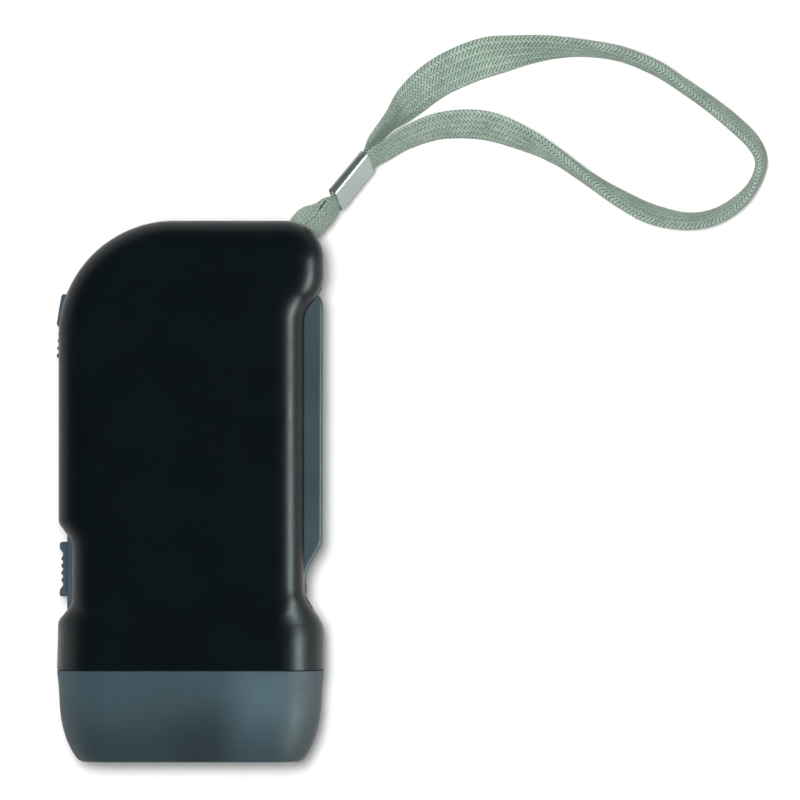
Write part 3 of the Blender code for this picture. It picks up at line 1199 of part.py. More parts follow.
def claws(name, radius, low, high, phase):
    """The bent teeth of a pole plate, as a ring of separate curved blocks."""
    outlines = []
    for k in range(POLE_COUNT):
        middle = phase + 2 * math.pi * k / POLE_COUNT
        arc = [middle + POLE_ANGLE * (s - 0.5) for s in (0, 0.5, 1)]
        plan = [(radius, a) for a in arc] + [(radius - POLE_THICKNESS, a) for a in reversed(arc)]
        outlines.append([FLYWHEEL_AXIS + r * np.array([math.cos(a), math.sin(a)]) for r, a in plan])
    return prisms(name, outlines, low, high)


def make_stator(radius):
    """Two clawed pole plates round a wound bobbin, hung from the upper shell's boss."""
    low, high = stator_floor(), stator_top()
    bore = AXLE_RADIUS + CLEARANCE
    inner_low, inner_high = low + POLE_PLATE, high - POLE_PLATE
    core_top = inner_high - RUNNING_FIT
    profile = [(bore, low), (radius, low), (radius, inner_low), (STATOR_CORE_RADIUS, inner_low),
               (STATOR_CORE_RADIUS, core_top), (bore, core_top), (bore, low)]
    lower = turned("stator_lower_plate", FLYWHEEL_AXIS, profile, "steel")
    join(lower, claws("lower_claws", radius - PRESS_FIT, inner_low - PRESS_FIT, inner_high - CLEARANCE,
                      0))
    upper = bored("stator_upper_plate", FLYWHEEL_AXIS, radius, bore, inner_high, high, "steel")
    join(upper, claws("upper_claws", radius - PRESS_FIT, inner_low + CLEARANCE, inner_high + PRESS_FIT,
                      math.pi / POLE_COUNT))
    flange = radius - POLE_THICKNESS - CLEARANCE
    hole = STATOR_CORE_RADIUS + PRESS_FIT
    start, end = inner_low + RUNNING_FIT, inner_high - RUNNING_FIT
    core = hole + BOBBIN_WALL
    profile = [(hole, start), (flange, start), (flange, start + BOBBIN_WALL),
               (core, start + BOBBIN_WALL),
               (core, end - BOBBIN_WALL), (flange, end - BOBBIN_WALL), (flange, end), (hole, end),
               (hole, start)]
    turned("stator_bobbin", FLYWHEEL_AXIS, profile, "black_part")
    bored("stator_winding", FLYWHEEL_AXIS, flange - BOBBIN_EDGE, core + PRESS_FIT,
          start + BOBBIN_WALL + PRESS_FIT,
          end - BOBBIN_WALL - PRESS_FIT, "copper")


def make_pins():
    """The steel pins that the lever and the gears turn on, and the five screws."""
    end = LEVER_WIDTH / 2 + CLEARANCE + AXLE_SEAT
    rod("lever_pivot_pin", PIVOT, PIVOT_PIN_RADIUS, -end, end, "steel")
    rod("clutch_axle", DRIVE_AXIS, AXLE_RADIUS, CLUTCH_BOTTOM - CLEARANCE - AXLE_SEAT,
        SECTOR_THICKNESS / 2 + CLEARANCE + AXLE_SEAT, "steel", SMALL_SIDES)
    low = IDLER_BOTTOM - CLEARANCE - AXLE_SEAT
    rod("idler_axle", IDLER_AXIS, AXLE_RADIUS, low, CLUTCH_TOP + RUNNING_FIT, "steel", SMALL_SIDES)
    rod("flywheel_axle", FLYWHEEL_AXIS, AXLE_RADIUS, low, stator_top() + CLEARANCE + AXLE_SEAT,
        "steel", SMALL_SIDES)
    seat = -HALF_DEPTH + SCREW_SINK - RUNNING_FIT
    for k, place in enumerate(screw_places()):
        tip = seat + SCREW_LENGTH
        profile = [(SCREW_HEAD_RADIUS, seat - SCREW_HEAD_HEIGHT), (SCREW_HEAD_RADIUS, seat),
                   (SCREW_RADIUS, seat),
                   (SCREW_RADIUS, tip - SCREW_RADIUS), (SCREW_RADIUS * SCREW_POINT_SHARE, tip)]
        turned(f"shell_screw_{k + 1}", place, profile, "steel", SMALL_SIDES)


def make_lock():
    """The lock slider in its seat and the bolt behind it, whose hook meets the sector's catch."""
    middle, along = lock_frame()
    empty = axis_empty("lock_axis", middle)
    home = (*middle, MID_Z)
    end = LOCK_LENGTH / 2
    base = -LOCK_FLOOR + CLEARANCE
    half = LOCK_WIDTH / 2
    top = [(-end, LOCK_RIB_DEPTH / 2)]
    first = -end + LOCK_RIB_DEPTH * 2
    for k in range(LOCK_RIB_COUNT):
        s = first + k * LOCK_RIB_PITCH
        rise = LOCK_STEP * (s + end) / LOCK_LENGTH + LOCK_RIB_DEPTH / 2
        top += [(s, rise), (s + LOCK_RIB_DEPTH / 2, rise + LOCK_RIB_DEPTH),
                (s + LOCK_RIB_WIDTH - LOCK_RIB_DEPTH / 2, rise + LOCK_RIB_DEPTH),
                (s + LOCK_RIB_WIDTH, rise)]
    ramp = first + LOCK_RIB_COUNT * LOCK_RIB_PITCH
    top += [(ramp, LOCK_STEP), (ramp + LOCK_RIB_WIDTH, LOCK_RIDGE), (end / 2, LOCK_RIDGE - PRESS_FIT),
            (end - LOCK_RIB_WIDTH, LOCK_RIDGE - LOCK_RIB_DEPTH), (end, LOCK_STEP - LOCK_RIB_DEPTH)]
    plan = [(end, base)] + top[::-1] + [(-end, base)]
    slider = prism("lock_slider", local_points(middle, along, plan), -half, half, "grey_slider",
                   origin=home, parent=empty)
    neck = LOCK_NECK_LENGTH / 2
    inside = -LOCK_FLOOR - LOCK_POCKET_WALL - CLEARANCE
    stem = [(-neck, inside), (neck, inside), (neck, base + PRESS_FIT), (-neck, base + PRESS_FIT)]
    join(slider, prism("lock_stem", local_points(middle, along, stem), -LOCK_NECK_WIDTH / 2,
                       LOCK_NECK_WIDTH / 2))

    high = inside - PRESS_FIT
    low = high - BOLT_THICKNESS
    centre_s, hook_low = catch_clearance(middle, along)
    end = centre_s + BOLT_LENGTH
    plan = [(end, high), (end, low), (centre_s + HOOK_LENGTH, low),
            (centre_s + HOOK_LENGTH, hook_low), (centre_s, hook_low),
            (centre_s, high)]
    prism("lock_bolt", local_points(middle, along, plan), -BOLT_WIDTH / 2, BOLT_WIDTH / 2,
          "white_nylon", origin=home, parent=empty)


def catch_clearance(middle, along):
    """Where the hook ends so that it just clears the circle that the sector's catch sweeps."""
    sweep = SECTOR_OUTER + CATCH_REACH + CLEARANCE
    out = np.array([-along[1], along[0]])
    hook_low = -LOCK_FLOOR - LOCK_POCKET_WALL - CLEARANCE - BOLT_THICKNESS - CATCH_REACH
    start = middle + hook_low * out - PIVOT
    b = start @ along
    reach = -b + math.sqrt(max(b * b - (start @ start - sweep ** 2), 0))
    return reach, hook_low


def make_switch():
    """The ribbed switch slider in the notch, its carrier and wiper, and the fixed contact block."""
    middle = np.array([SWITCH_X, JOINT_Y + SWITCH_FROM_HEAD + SWITCH_LENGTH / 2])
    empty = axis_empty("switch_axis", middle)
    home = (*middle, MID_Z)
    along = np.array([0.0, 1.0])
    end = SWITCH_LENGTH / 2
    base = RUNNING_FIT * 2
    rib = SWITCH_HEIGHT - SWITCH_RIB_DROP
    valley = rib - SWITCH_RIB_DEPTH
    top = [(-end, SWITCH_HEIGHT - SWITCH_RIB_DEPTH / 2), (-end + SWITCH_RIB_DEPTH / 2, SWITCH_HEIGHT),
           (-end + SWITCH_END, SWITCH_HEIGHT),
           (-end + SWITCH_END + SWITCH_RIB_DEPTH, valley)]
    for k in range(SWITCH_RIB_COUNT):
        s = (k - (SWITCH_RIB_COUNT - 1) / 2) * SWITCH_RIB_PITCH
        half_rib = SWITCH_RIB_WIDTH / 2
        top += [(s - half_rib, valley), (s - half_rib / 2, rib), (s + half_rib / 2, rib),
                (s + half_rib, valley)]
    top += [(-s, h) for s, h in reversed(top[:4])]
    plan = [(end, base)] + top[::-1] + [(-end, base)]
    half = SWITCH_WIDTH / 2
    slider = prism("switch_slider", local_points(middle, along, plan), -half, half, "grey_slider",
                   origin=home, parent=empty)
    neck = SWITCH_NECK_LENGTH / 2
    inside = SWITCH_X - NOTCH_X - WALL - CLEARANCE
    stem = [(-neck, inside), (neck, inside), (neck, base + PRESS_FIT), (-neck, base + PRESS_FIT)]
    join(slider, prism("switch_stem", local_points(middle, along, stem), -SWITCH_NECK_WIDTH / 2,
                       SWITCH_NECK_WIDTH / 2))

    def slab(name, s0, s1, h0, h1, width, look, **where):
        pairs = [(s0, h0), (s1, h0), (s1, h1), (s0, h1)]
        return prism(name, local_points(middle, along, pairs), -width / 2, width / 2, look, **where)

    high = inside - PRESS_FIT
    low = high - CARRIER_THICKNESS
    ride = CARRIER_LENGTH / 2
    slab("switch_carrier", -ride, ride, low, high, CARRIER_WIDTH, "white_nylon", origin=home,
         parent=empty)
    strip = low - PRESS_FIT
    slab("switch_wiper", -ride + CLEARANCE, ride - CLEARANCE, strip - WIPER_THICKNESS, strip,
         CARRIER_WIDTH / 2, "brass",
         origin=home, parent=empty)
    make_switch_plate(middle[1])
    top, low_y, high_y = switch_block_span()
    half = SWITCH_BASE_WIDTH / 2
    box("switch_block", (top - SWITCH_BASE_THICKNESS, low_y, -half), (top, high_y, half), "black_part")


def make_switch_plate(switch_y):
    """The grey plate that fills the foot of the notch, slotted for the switch's stem."""
    tail_y, head_y = notch_corners()[0][1], notch_corners()[-1][1]
    half = SWITCH_PLATE_WIDTH / 2
    plate = box("switch_plate", (SWITCH_X, head_y, -half), (NOTCH_X + OVERRUN, tail_y, half),
                "grey_slider")
    seat = rounded_outline(inset_corners(body_corners(), -PRESS_FIT))
    cut(plate, prism("switch_plate_seat", seat, -half - OVERRUN, half + OVERRUN))
    reach = SWITCH_NECK_LENGTH / 2 + CLEARANCE
    slot = SWITCH_NECK_WIDTH / 2 + CLEARANCE
    cut(plate, box("switch_plate_way", (SWITCH_X - OVERRUN, switch_y - reach - SWITCH_TRAVEL, -slot),
                   (NOTCH_X + OVERRUN, switch_y + reach, slot)))


def rounded_path(points, samples):
    """A smooth line through points, as Catmull-Rom pieces, with the ends kept."""
    table = np.array(points, float)
    full = np.vstack([2 * table[0] - table[1], table, 2 * table[-1] - table[-2]])
    out = []
    for k in range(len(table) - 1):
        p0, p1, p2, p3 = full[k:k + 4]
        for i in range(samples):
            t = i / samples
            out.append(((2 * p1) + (p2 - p0) * t + (2 * p0 - 5 * p1 + 4 * p2 - p3) * t ** 2
                        + (3 * p1 - p0 - 3 * p2 + p3) * t ** 3) / 2)
    out.append(table[-1])
    return np.array(out)


def make_power():
    """The cell in its nest, the charge board on its posts, and the leads."""
    floor = -ROOF
    low = floor + RUNNING_FIT * 2
    top = low + CELL_HEIGHT
    edge = SMALLEST_ROUND
    turned("storage_cell", CELL_PLACE, [(CELL_RADIUS - edge, low), (CELL_RADIUS, low + edge),
                                        (CELL_RADIUS, top - edge),
                                        (CELL_RADIUS - edge, top)], "cell_wrap")
    tab = top + PRESS_FIT
    rod("cell_tab", CELL_PLACE, CELL_TAB_RADIUS, tab, tab + CELL_TAB_THICKNESS, "steel", SMALL_SIDES)
    half_x, half_y = BOARD_WIDTH / 2, BOARD_LENGTH / 2
    board_low = floor + BOARD_HEIGHT + PRESS_FIT
    board_top = board_low + BOARD_THICKNESS
    box("charge_board", (BOARD_PLACE[0] - half_x, BOARD_PLACE[1] - half_y, board_low),
        (BOARD_PLACE[0] + half_x, BOARD_PLACE[1] + half_y, board_top), "board_green")
    foot = board_top + PRESS_FIT
    capacitor = BOARD_PLACE + np.array([0, half_y - CAPACITOR_RADIUS - SMALLEST_ROUND * 2])
    rod("capacitor", capacitor, CAPACITOR_RADIUS, foot, foot + CAPACITOR_HEIGHT, "black_part")

    def spot(place, height, dx=0.0, dy=0.0):
        return (place[0] + dx, place[1] + dy, MID_Z + height)

    pad = board_top + LEAD_END_GAP
    rise = LEAD_RISE
    cell_pad = BOARD_PLACE + np.array([-half_x + OVERRUN * 2, 0])
    start = tab + CELL_TAB_THICKNESS + LEAD_END_GAP
    ends = [spot(CELL_PLACE, start), spot(CELL_PLACE, start + rise),
            spot(cell_pad, start + rise / 2, -rise / 2),
            spot(cell_pad, pad + rise), spot(cell_pad, pad)]
    wire("cell_lead", ends, LEAD_RADIUS, "red_lead")
    lamp_y = lamp_board_back()
    lamp_pad = BOARD_PLACE + np.array([0, -half_y + OVERRUN * 2])
    for name, dx, look in (("lamp_lead_red", -OVERRUN, "red_lead"), ("lamp_lead_black", OVERRUN * 2,
                                                                     "black_lead")):
        x = lamp_pad[0] + dx
        ends = [spot(lamp_pad, pad, dx), spot(lamp_pad, pad + rise, dx),
                (x, lamp_y + rise, MID_Z + pad + rise),
                (x, lamp_y + LEAD_END_GAP, MID_Z + pad + rise)]
        wire(name, ends, LEAD_RADIUS, look)
    coil_start = stator_top() + LEAD_END_GAP
    for name, dx, look in (("coil_lead_red", -OVERRUN, "red_lead"), ("coil_lead_black", OVERRUN,
                                                                     "black_lead")):
        from_coil = FLYWHEEL_AXIS + np.array([CELL_TAB_RADIUS + dx * 2, -HUB_FLANGE_RADIUS - OVERRUN])
        to_board = BOARD_PLACE + np.array([dx, half_y - CAPACITOR_RADIUS * 2 - SMALLEST_ROUND * 6])
        over = stator_top() + rise
        past = np.array([from_coil[0], FLYWHEEL_AXIS[1] - FLYWHEEL_RADIUS - rise])
        ends = [spot(from_coil, coil_start), spot(from_coil, over),
                spot(past, over - rise / 2),
                spot(to_board, pad + CAPACITOR_HEIGHT + rise / 2), spot(to_board, pad)]
        wire(name, ends, LEAD_RADIUS, look)


def lamp_board_back():
    bowl_back = FRONT_Y + LENS_THICKNESS + CLEARANCE * 2 + BOWL_DEPTH
    return bowl_back + RUNNING_FIT * 2 + LAMP_FLANGE + LAMP_BOARD_THICKNESS


def tangent_turn(radius, end, outgoing):
    """Where on a coil round the pivot a leg leaves for its end, for anticlockwise winding."""
    way = end - PIVOT
    lean = math.acos(radius / np.linalg.norm(way))
    return math.atan2(way[1], way[0]) + (-lean if outgoing else lean)


def make_spring():
    """The lever's torsion spring: turns round the pivot pin, one leg on the lever, one on a boss."""
    wire_room = SPRING_WIRE_RADIUS + CLEARANCE
    radius = PIVOT_PIN_RADIUS + wire_room
    pitch = 2 * SPRING_WIRE_RADIUS + SPRING_GAP
    low, high = np.array([LEVER_HUB_RADIUS - LEVER_WALL,
                          LEVER_HEEL]), np.array([PIVOT_INSET, LEVER_NECK])
    high = high - np.array([LEVER_FACE_INSET + LEVER_WALL, -LEVER_WALL])
    share = (SPRING_LEG_RISE - low[1]) / (high[1] - low[1])
    lever_end = PIVOT + low + (high - low) * share - np.array([wire_room + RUNNING_FIT, 0])
    boss = screw_places()[3]
    shell_end = boss - np.array([SCREW_BOSS_RADIUS + wire_room, -RUNNING_FIT])
    first = tangent_turn(radius, lever_end, False)
    last = tangent_turn(radius, shell_end, True)
    last += 2 * math.pi * (SPRING_TURNS + math.ceil((first - last) / (2 * math.pi)))
    count = SPRING_TURNS * SPRING_POINTS_PER_TURN
    start = -SPRING_TURNS * pitch / 2
    turns = np.linspace(first, last, count + 1)
    heights = MID_Z + start + pitch * (turns - first) / (2 * math.pi)
    coil = np.stack([PIVOT[0] + radius * np.cos(turns), PIVOT[1] + radius * np.sin(turns), heights],
                    axis=1)
    legs = [(*lever_end, heights[0])], [(*shell_end, heights[-1])]
    wire("lever_spring", [*legs[0], *coil, *legs[1]], SPRING_WIRE_RADIUS, "steel", smooth=False)
    near = [np.linalg.norm(coil[i] - coil[j]) for i in range(count + 1) for j in range(i + 1, count + 1)
            if turns[j] - turns[i] > math.pi]
    print("least gap between the spring's turns, mm:", round((min(near) - 2 * SPRING_WIRE_RADIUS) / MM,
                                                             3))


def strap_stations():
    """The strap's middle line, its width ways and its section sizes, from the route."""
    line = rounded_path(STRAP_ROUTE, STRAP_SAMPLES)
    places = line[:, :3] * MM * ROUTE_STRETCH + ROUTE_SHIFT
    lean = np.radians(line[:, 3])
    half_width, half_thick = line[:, 4] * MM / 2, line[:, 5] * MM / 2
    drop = np.sqrt((half_width * np.sin(lean)) ** 2 + (half_thick * np.cos(lean)) ** 2)
    places[:, 2] += drop
    ways = np.gradient(places, axis=0)
    ways /= np.linalg.norm(ways, axis=1)[:, None]
    flat = np.stack([-ways[:, 1], ways[:, 0], 0 * lean], axis=1)
    flat /= np.linalg.norm(flat, axis=1)[:, None]
    across = flat * np.cos(lean)[:, None] + np.array([0, 0, 1]) * np.sin(lean)[:, None]
    across -= ways * np.sum(across * ways, axis=1)[:, None]
    across /= np.linalg.norm(across, axis=1)[:, None]
    return places, ways, across, half_width, half_thick


def make_strap():
    """The braided wrist strap, its crimp and the pin in the tail that holds it."""
    places, ways, across, half_width, half_thick = strap_stations()
    turns = np.arange(STRAP_SECTION_POINTS) * 2 * math.pi / STRAP_SECTION_POINTS

    def flattened(value):
        return np.sign(value) * np.abs(value) ** STRAP_SECTION_POWER

    u, v = flattened(np.cos(turns)), flattened(np.sin(turns))
    normal = np.cross(ways, across)
    rings = (places[:, None] + across[:, None] * (u[None, :] * half_width[:, None])[..., None]
             + normal[:, None] * (v[None, :] * half_thick[:, None])[..., None])
    loft("wrist_strap", rings, "strap_braid")
    length = float(np.sum(np.linalg.norm(np.diff(places, axis=0), axis=1)))
    print("strap length, mm:", round(length / MM, 1), " lowest point, mm:",
          round(float(rings[..., 2].min()) / MM, 3))

    way = Vector(CRIMP_WAY).normalized()
    middle = Vector(np.array(CRIMP_MIDDLE) * MM * ROUTE_STRETCH + ROUTE_SHIFT)
    low, high = middle - way * CRIMP_LENGTH / 2, middle + way * CRIMP_LENGTH / 2
    level_way = Vector((-way.y, way.x, 0)).normalized()
    lean = math.radians(CRIMP_LEAN)
    wide = level_way * math.cos(lean) + Vector((0, 0, 1)) * math.sin(lean)
    wide = (wide - way * wide.dot(way)).normalized()
    thin = way.cross(wide)

    def section(place, inset):
        half = CRIMP_WIDTH / 2 - inset, CRIMP_THICKNESS / 2 - inset
        corners = [(a * half[0], b * half[1], CRIMP_ROUND - inset) for a, b in SQUARE_SIGNS]
        return [place + wide * a + thin * b for a, b in rounded_outline(corners, COARSE_STEP)]

    crimp = loft("strap_crimp", [section(low, 0), section(high, 0)], "crimp_steel")
    past = way * OVERRUN
    cut(crimp, loft("crimp_hollow", [section(low - past, CRIMP_WALL),
                                     section(high + past, CRIMP_WALL)]))
    end = POCKET_HEIGHT / 2 + STRAP_PIN_END - CLEARANCE * 2
    rod("strap_pin", STRAP_PIN, STRAP_PIN_RADIUS, -end, end, "steel", SMALL_SIDES)


def report_axes():
    places = {"lever": PIVOT, "drive": DRIVE_AXIS, "idler": IDLER_AXIS, "flywheel": FLYWHEEL_AXIS,
              "strap pin": STRAP_PIN}
    for words, place in places.items():
        print(f"{words} axis, mm: {place[0] / MM:.4f} {place[1] / MM:.4f} {MID_Z / MM:.2f}")
    middle, along = lock_frame()
    print("lock middle and way:", [round(float(c) / MM, 4) for c in middle],
          [round(float(c), 5) for c in along])
    print("catch clearance, mm:", [round(float(c) / MM, 3) for c in catch_clearance(middle, along)])


def main():
    clear_scene()
    make_shell("upper_shell", 1)
    make_shell("lower_shell", -1)
    make_head()
    make_lever()
    make_train()
    make_pins()
    make_lock()
    make_switch()
    make_power()
    make_spring()
    make_strap()
    report_axes()


main()
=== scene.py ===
"""Dressed scene of a flat press dynamo torch with a wrist strap, lying on its lower shell.

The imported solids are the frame. Each sub-assembly is a class that works out its surfaces as
arrays, in millimetres, in the frame's own axes: X across to the lever, Y from the head to the
tail, Z up from the table. Meshes are made in metres, with every object at the origin.
"""

import json
import logging
import math
from contextlib import contextmanager
from dataclasses import dataclass
from enum import Enum
from typing import Iterator, Optional, Sequence, Union

import bmesh
import bpy
import numpy as np
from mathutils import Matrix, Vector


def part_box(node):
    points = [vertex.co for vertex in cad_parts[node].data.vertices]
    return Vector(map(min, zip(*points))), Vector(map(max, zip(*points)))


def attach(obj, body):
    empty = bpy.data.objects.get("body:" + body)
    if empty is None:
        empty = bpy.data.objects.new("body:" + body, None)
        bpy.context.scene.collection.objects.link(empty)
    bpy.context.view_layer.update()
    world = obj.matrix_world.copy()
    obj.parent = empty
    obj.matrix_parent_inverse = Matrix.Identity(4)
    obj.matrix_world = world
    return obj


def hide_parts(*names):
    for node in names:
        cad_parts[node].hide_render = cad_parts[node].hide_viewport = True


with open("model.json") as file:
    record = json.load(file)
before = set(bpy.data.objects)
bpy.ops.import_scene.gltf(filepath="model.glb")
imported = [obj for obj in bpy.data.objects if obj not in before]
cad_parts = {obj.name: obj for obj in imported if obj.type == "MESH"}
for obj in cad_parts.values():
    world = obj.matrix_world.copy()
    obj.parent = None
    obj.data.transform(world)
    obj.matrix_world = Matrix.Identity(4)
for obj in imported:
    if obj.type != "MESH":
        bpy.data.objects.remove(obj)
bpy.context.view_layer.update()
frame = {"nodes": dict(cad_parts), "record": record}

MM = 0.001
LOG = logging.getLogger("torch")
Thing = bpy.types.Object
Socket = bpy.types.NodeSocket
Value = Union[float, Sequence[float], Socket]
Surface = tuple[Socket, Socket, Socket]
Corner = tuple[float, float, float]
Pairs = tuple[tuple[float, float], ...]

# Sizes shared by the sub-assemblies, in millimetres
FRONT_Y, TAIL_Y, JOINT_Y = -52.6, 52.6, -34.7
HALF_WIDTH, HALF_DEPTH, MID_Z = 26.0, 15.5, 15.5
LEFT_X, GRIP_X, NOTCH_X, SWITCH_X = -25.55, 22.1, -22.9, -23.96
NOTCH_LOW, NOTCH_HIGH = -25.25, -6.2
EDGE_ROUND, HEAD_ROUND, WALL, SEAM, CLEARANCE = 6.5, 12.4, 1.8, 0.2, 0.3
FULL_UNTIL, THINNING_RUN = -27.5, 7.1
PIVOT = np.array([19.4, -19.5])
LEVER_HALF = 7.7
STRAP_PIN = np.array([19.6, 46.2])
LOCK_MIDDLE, LOCK_WAY = np.array([-24.7665, 31.8]), np.array([0.11878, 0.99292])
SWITCH_MIDDLE, SWITCH_WAY = np.array([SWITCH_X, -15.2]), np.array([0.0, 1.0])
SLOT_LOW, SLOT_HIGH, SLOT_HALF = -19.3, -13.1, 1.8
SCREWS = ((-12.48, 43.1), (9.36, 46.8), (-19.76, -4.0), (18.98, -27.1), (-19.5, -27.1))
DRIVE_AXIS = np.array([6.459, 28.7963])
IDLER_AXIS = np.array([-2.0337, 18.3023])
FLYWHEEL_AXIS = np.array([-1.999, 6.0024])
BODY_CORNERS: tuple[Corner, ...] = (
    (HALF_WIDTH, FRONT_Y, 0.8), (HALF_WIDTH, -26.1, 6.0), (GRIP_X, -20.4, 6.0), (GRIP_X, 35.1, 6.0),
    (HALF_WIDTH, 39.25, 10.0), (HALF_WIDTH, TAIL_Y, 10.3), (LEFT_X, TAIL_Y, 22.5),
    (LEFT_X, NOTCH_HIGH, 2.3), (NOTCH_X, -9.7, 4.7), (NOTCH_X, -21.9, 3.6),
    (-25.75, NOTCH_LOW, 2.3), (-26.473, FRONT_Y, 0.8))

# How outlines are rounded and meshes closed: the least round left by an inset, the most of a side
# that a corner's arc takes up, and the reach in metres within which points are merged
LEAST_ROUND, ARC_SHARE = 0.8, 0.57
POLE_REACH, MERGE_REACH = 1e-6, 2e-7


def mitres(points: np.ndarray) -> tuple[np.ndarray, np.ndarray]:
    """How each point of a closed anticlockwise line moves when its sides move in by one.

    A move is the sum of the two sides' normals over one plus their product, and that is held
    from below, so that the move of a very sharp point stays small.

    Args:
        points: the line's points.

    Returns:
        The moves, and which points are outward corners.
    """
    back = points - np.roll(points, 1, 0)
    ahead = np.roll(points, -1, 0) - points
    back /= np.linalg.norm(back, axis=1)[:, None]
    ahead /= np.linalg.norm(ahead, axis=1)[:, None]
    first = np.stack([-back[:, 1], back[:, 0]], 1)
    second = np.stack([-ahead[:, 1], ahead[:, 0]], 1)
    outward = back[:, 0] * ahead[:, 1] - back[:, 1] * ahead[:, 0] > 0
    return (first + second) / np.maximum(1 + (first * second).sum(1), 0.5)[:, None], outward


def offset_line(points: np.ndarray, depth: float) -> np.ndarray:
    """A closed anticlockwise line moved inward by a depth along its mitres."""
    return points + depth * mitres(points)[0]


def inset_corners(corners: Sequence[Corner], depth: float) -> list[Corner]:
    """The corners of an outline moved inward along their mitres.

    Args:
        corners: x, y and round of each corner, anticlockwise.
        depth: how far each side moves in; a negative depth moves it out.

    Returns:
        The moved corners, with outward rounds less the depth and inward ones more.
    """
    table = np.array(corners, float)
    moves, outward = mitres(table[:, :2])
    rounds = np.where(outward, np.maximum(table[:, 2] - depth, LEAST_ROUND), table[:, 2] + depth)
    return [(float(x), float(y), float(r)) for (x, y), r in zip(table[:, :2] + depth * moves, rounds)]


def rounded_outline(corners: Sequence[Corner], step: float = 3.0) -> np.ndarray:
    """Points round an outline: at each corner an arc tangent to both sides.

    Args:
        corners: x, y and round of each corner, anticlockwise.
        step: the largest turn between two points of an arc, in degrees.

    Returns:
        An array of points, anticlockwise, without the closing one.
    """
    arcs = []
    for i, (x, y, radius) in enumerate(corners):
        here = np.array([x, y])
        back = np.array(corners[i - 1][:2]) - here
        ahead = np.array(corners[(i + 1) % len(corners)][:2]) - here
        room = ARC_SHARE * min(np.linalg.norm(back), np.linalg.norm(ahead))
        back, ahead = back / np.linalg.norm(back), ahead / np.linalg.norm(ahead)
        turn = math.pi - math.acos(float(np.clip(back @ ahead, -1, 1)))
        reach = min(radius * math.tan(turn / 2), room)
        radius = reach / math.tan(turn / 2)
        way = (back + ahead) / np.linalg.norm(back + ahead)
        centre = here + way * radius / math.cos(turn / 2)
        spoke = here + back * reach - centre
        side = 1 if back[0] * ahead[1] - back[1] * ahead[0] < 0 else -1
        angle = side * turn * np.linspace(0, 1, max(2, math.ceil(math.degrees(turn) / step) + 1))
        c, s = np.cos(angle), np.sin(angle)
        arcs.append(centre + np.stack([c * spoke[0] - s * spoke[1], s * spoke[0] + c * spoke[1]], 1))
    return np.concatenate(arcs)


def finer(points: np.ndarray, longest: float, like: Optional[np.ndarray] = None) -> np.ndarray:
    """A closed line with extra points on its long sides, at even steps between the old ones.

    Args:
        points: the closed line's points.
        longest: the longest side that is left whole.
        like: a line with the same count of points, whose sides decide the steps instead.

    Returns:
        The line's points with the new ones among them.
    """
    ruler = points if like is None else like
    spans = np.linalg.norm(np.roll(ruler, -1, 0) - ruler, axis=1)
    pieces = np.maximum(1, np.ceil(spans / longest)).astype(int)
    index = np.repeat(np.arange(len(points)), pieces)
    start = np.repeat(np.cumsum(pieces) - pieces, pieces)
    share = (np.arange(pieces.sum()) - start) / np.repeat(pieces, pieces)
    return points[index] + (np.roll(points, -1, 0)[index] - points[index]) * share[:, None]


def smooth_line(points: np.ndarray, samples: int) -> np.ndarray:
    """A line through points as Catmull-Rom pieces: cubics whose slope is half the chord across.

    Args:
        points: the rows to pass through, with any count of columns.
        samples: rows per piece.

    Returns:
        The finer rows, ending on the last of the points.
    """
    full = np.vstack([2 * points[0] - points[1], points, 2 * points[-1] - points[-2]])
    p0, p1, p2, p3 = (full[k:len(full) - 3 + k, None] for k in range(4))
    t = (np.arange(samples) / samples)[None, :, None]
    rows = (2 * p1 + (p2 - p0) * t + (2 * p0 - 5 * p1 + 4 * p2 - p3) * t ** 2
            + (3 * p1 - p0 - 3 * p2 + p3) * t ** 3) / 2
    return np.vstack([rows.reshape(-1, points.shape[1]), points[-1]])


def local_points(origin: np.ndarray, along: np.ndarray, pairs: Sequence[Sequence[float]]) -> np.ndarray:
    """Plane points from distances along a way and out to its left.

    Args:
        origin: the point that they are counted from.
        along: the way, with a length of one.
        pairs: the distance along and the distance out of each point.

    Returns:
        The points.
    """
    table = np.array(pairs, float)
    out = np.array([-along[1], along[0]])
    return origin + table[:, :1] * along + table[:, 1:] * out


def at_height(points: np.ndarray, height: Union[float, np.ndarray]) -> np.ndarray:
    """Plane points set at a height over the middle plane of the housing."""
    return np.column_stack([points, np.broadcast_to(MID_Z + height, len(points))])


def quarter(steps: int) -> np.ndarray:
    """Even turns from 0 to 90 degrees, in radians."""
    return np.linspace(0, math.pi / 2, steps + 1)


class Join(Enum):
    """What becomes of the tools that a body is given."""

    CUT = "DIFFERENCE"
    ADD = "UNION"


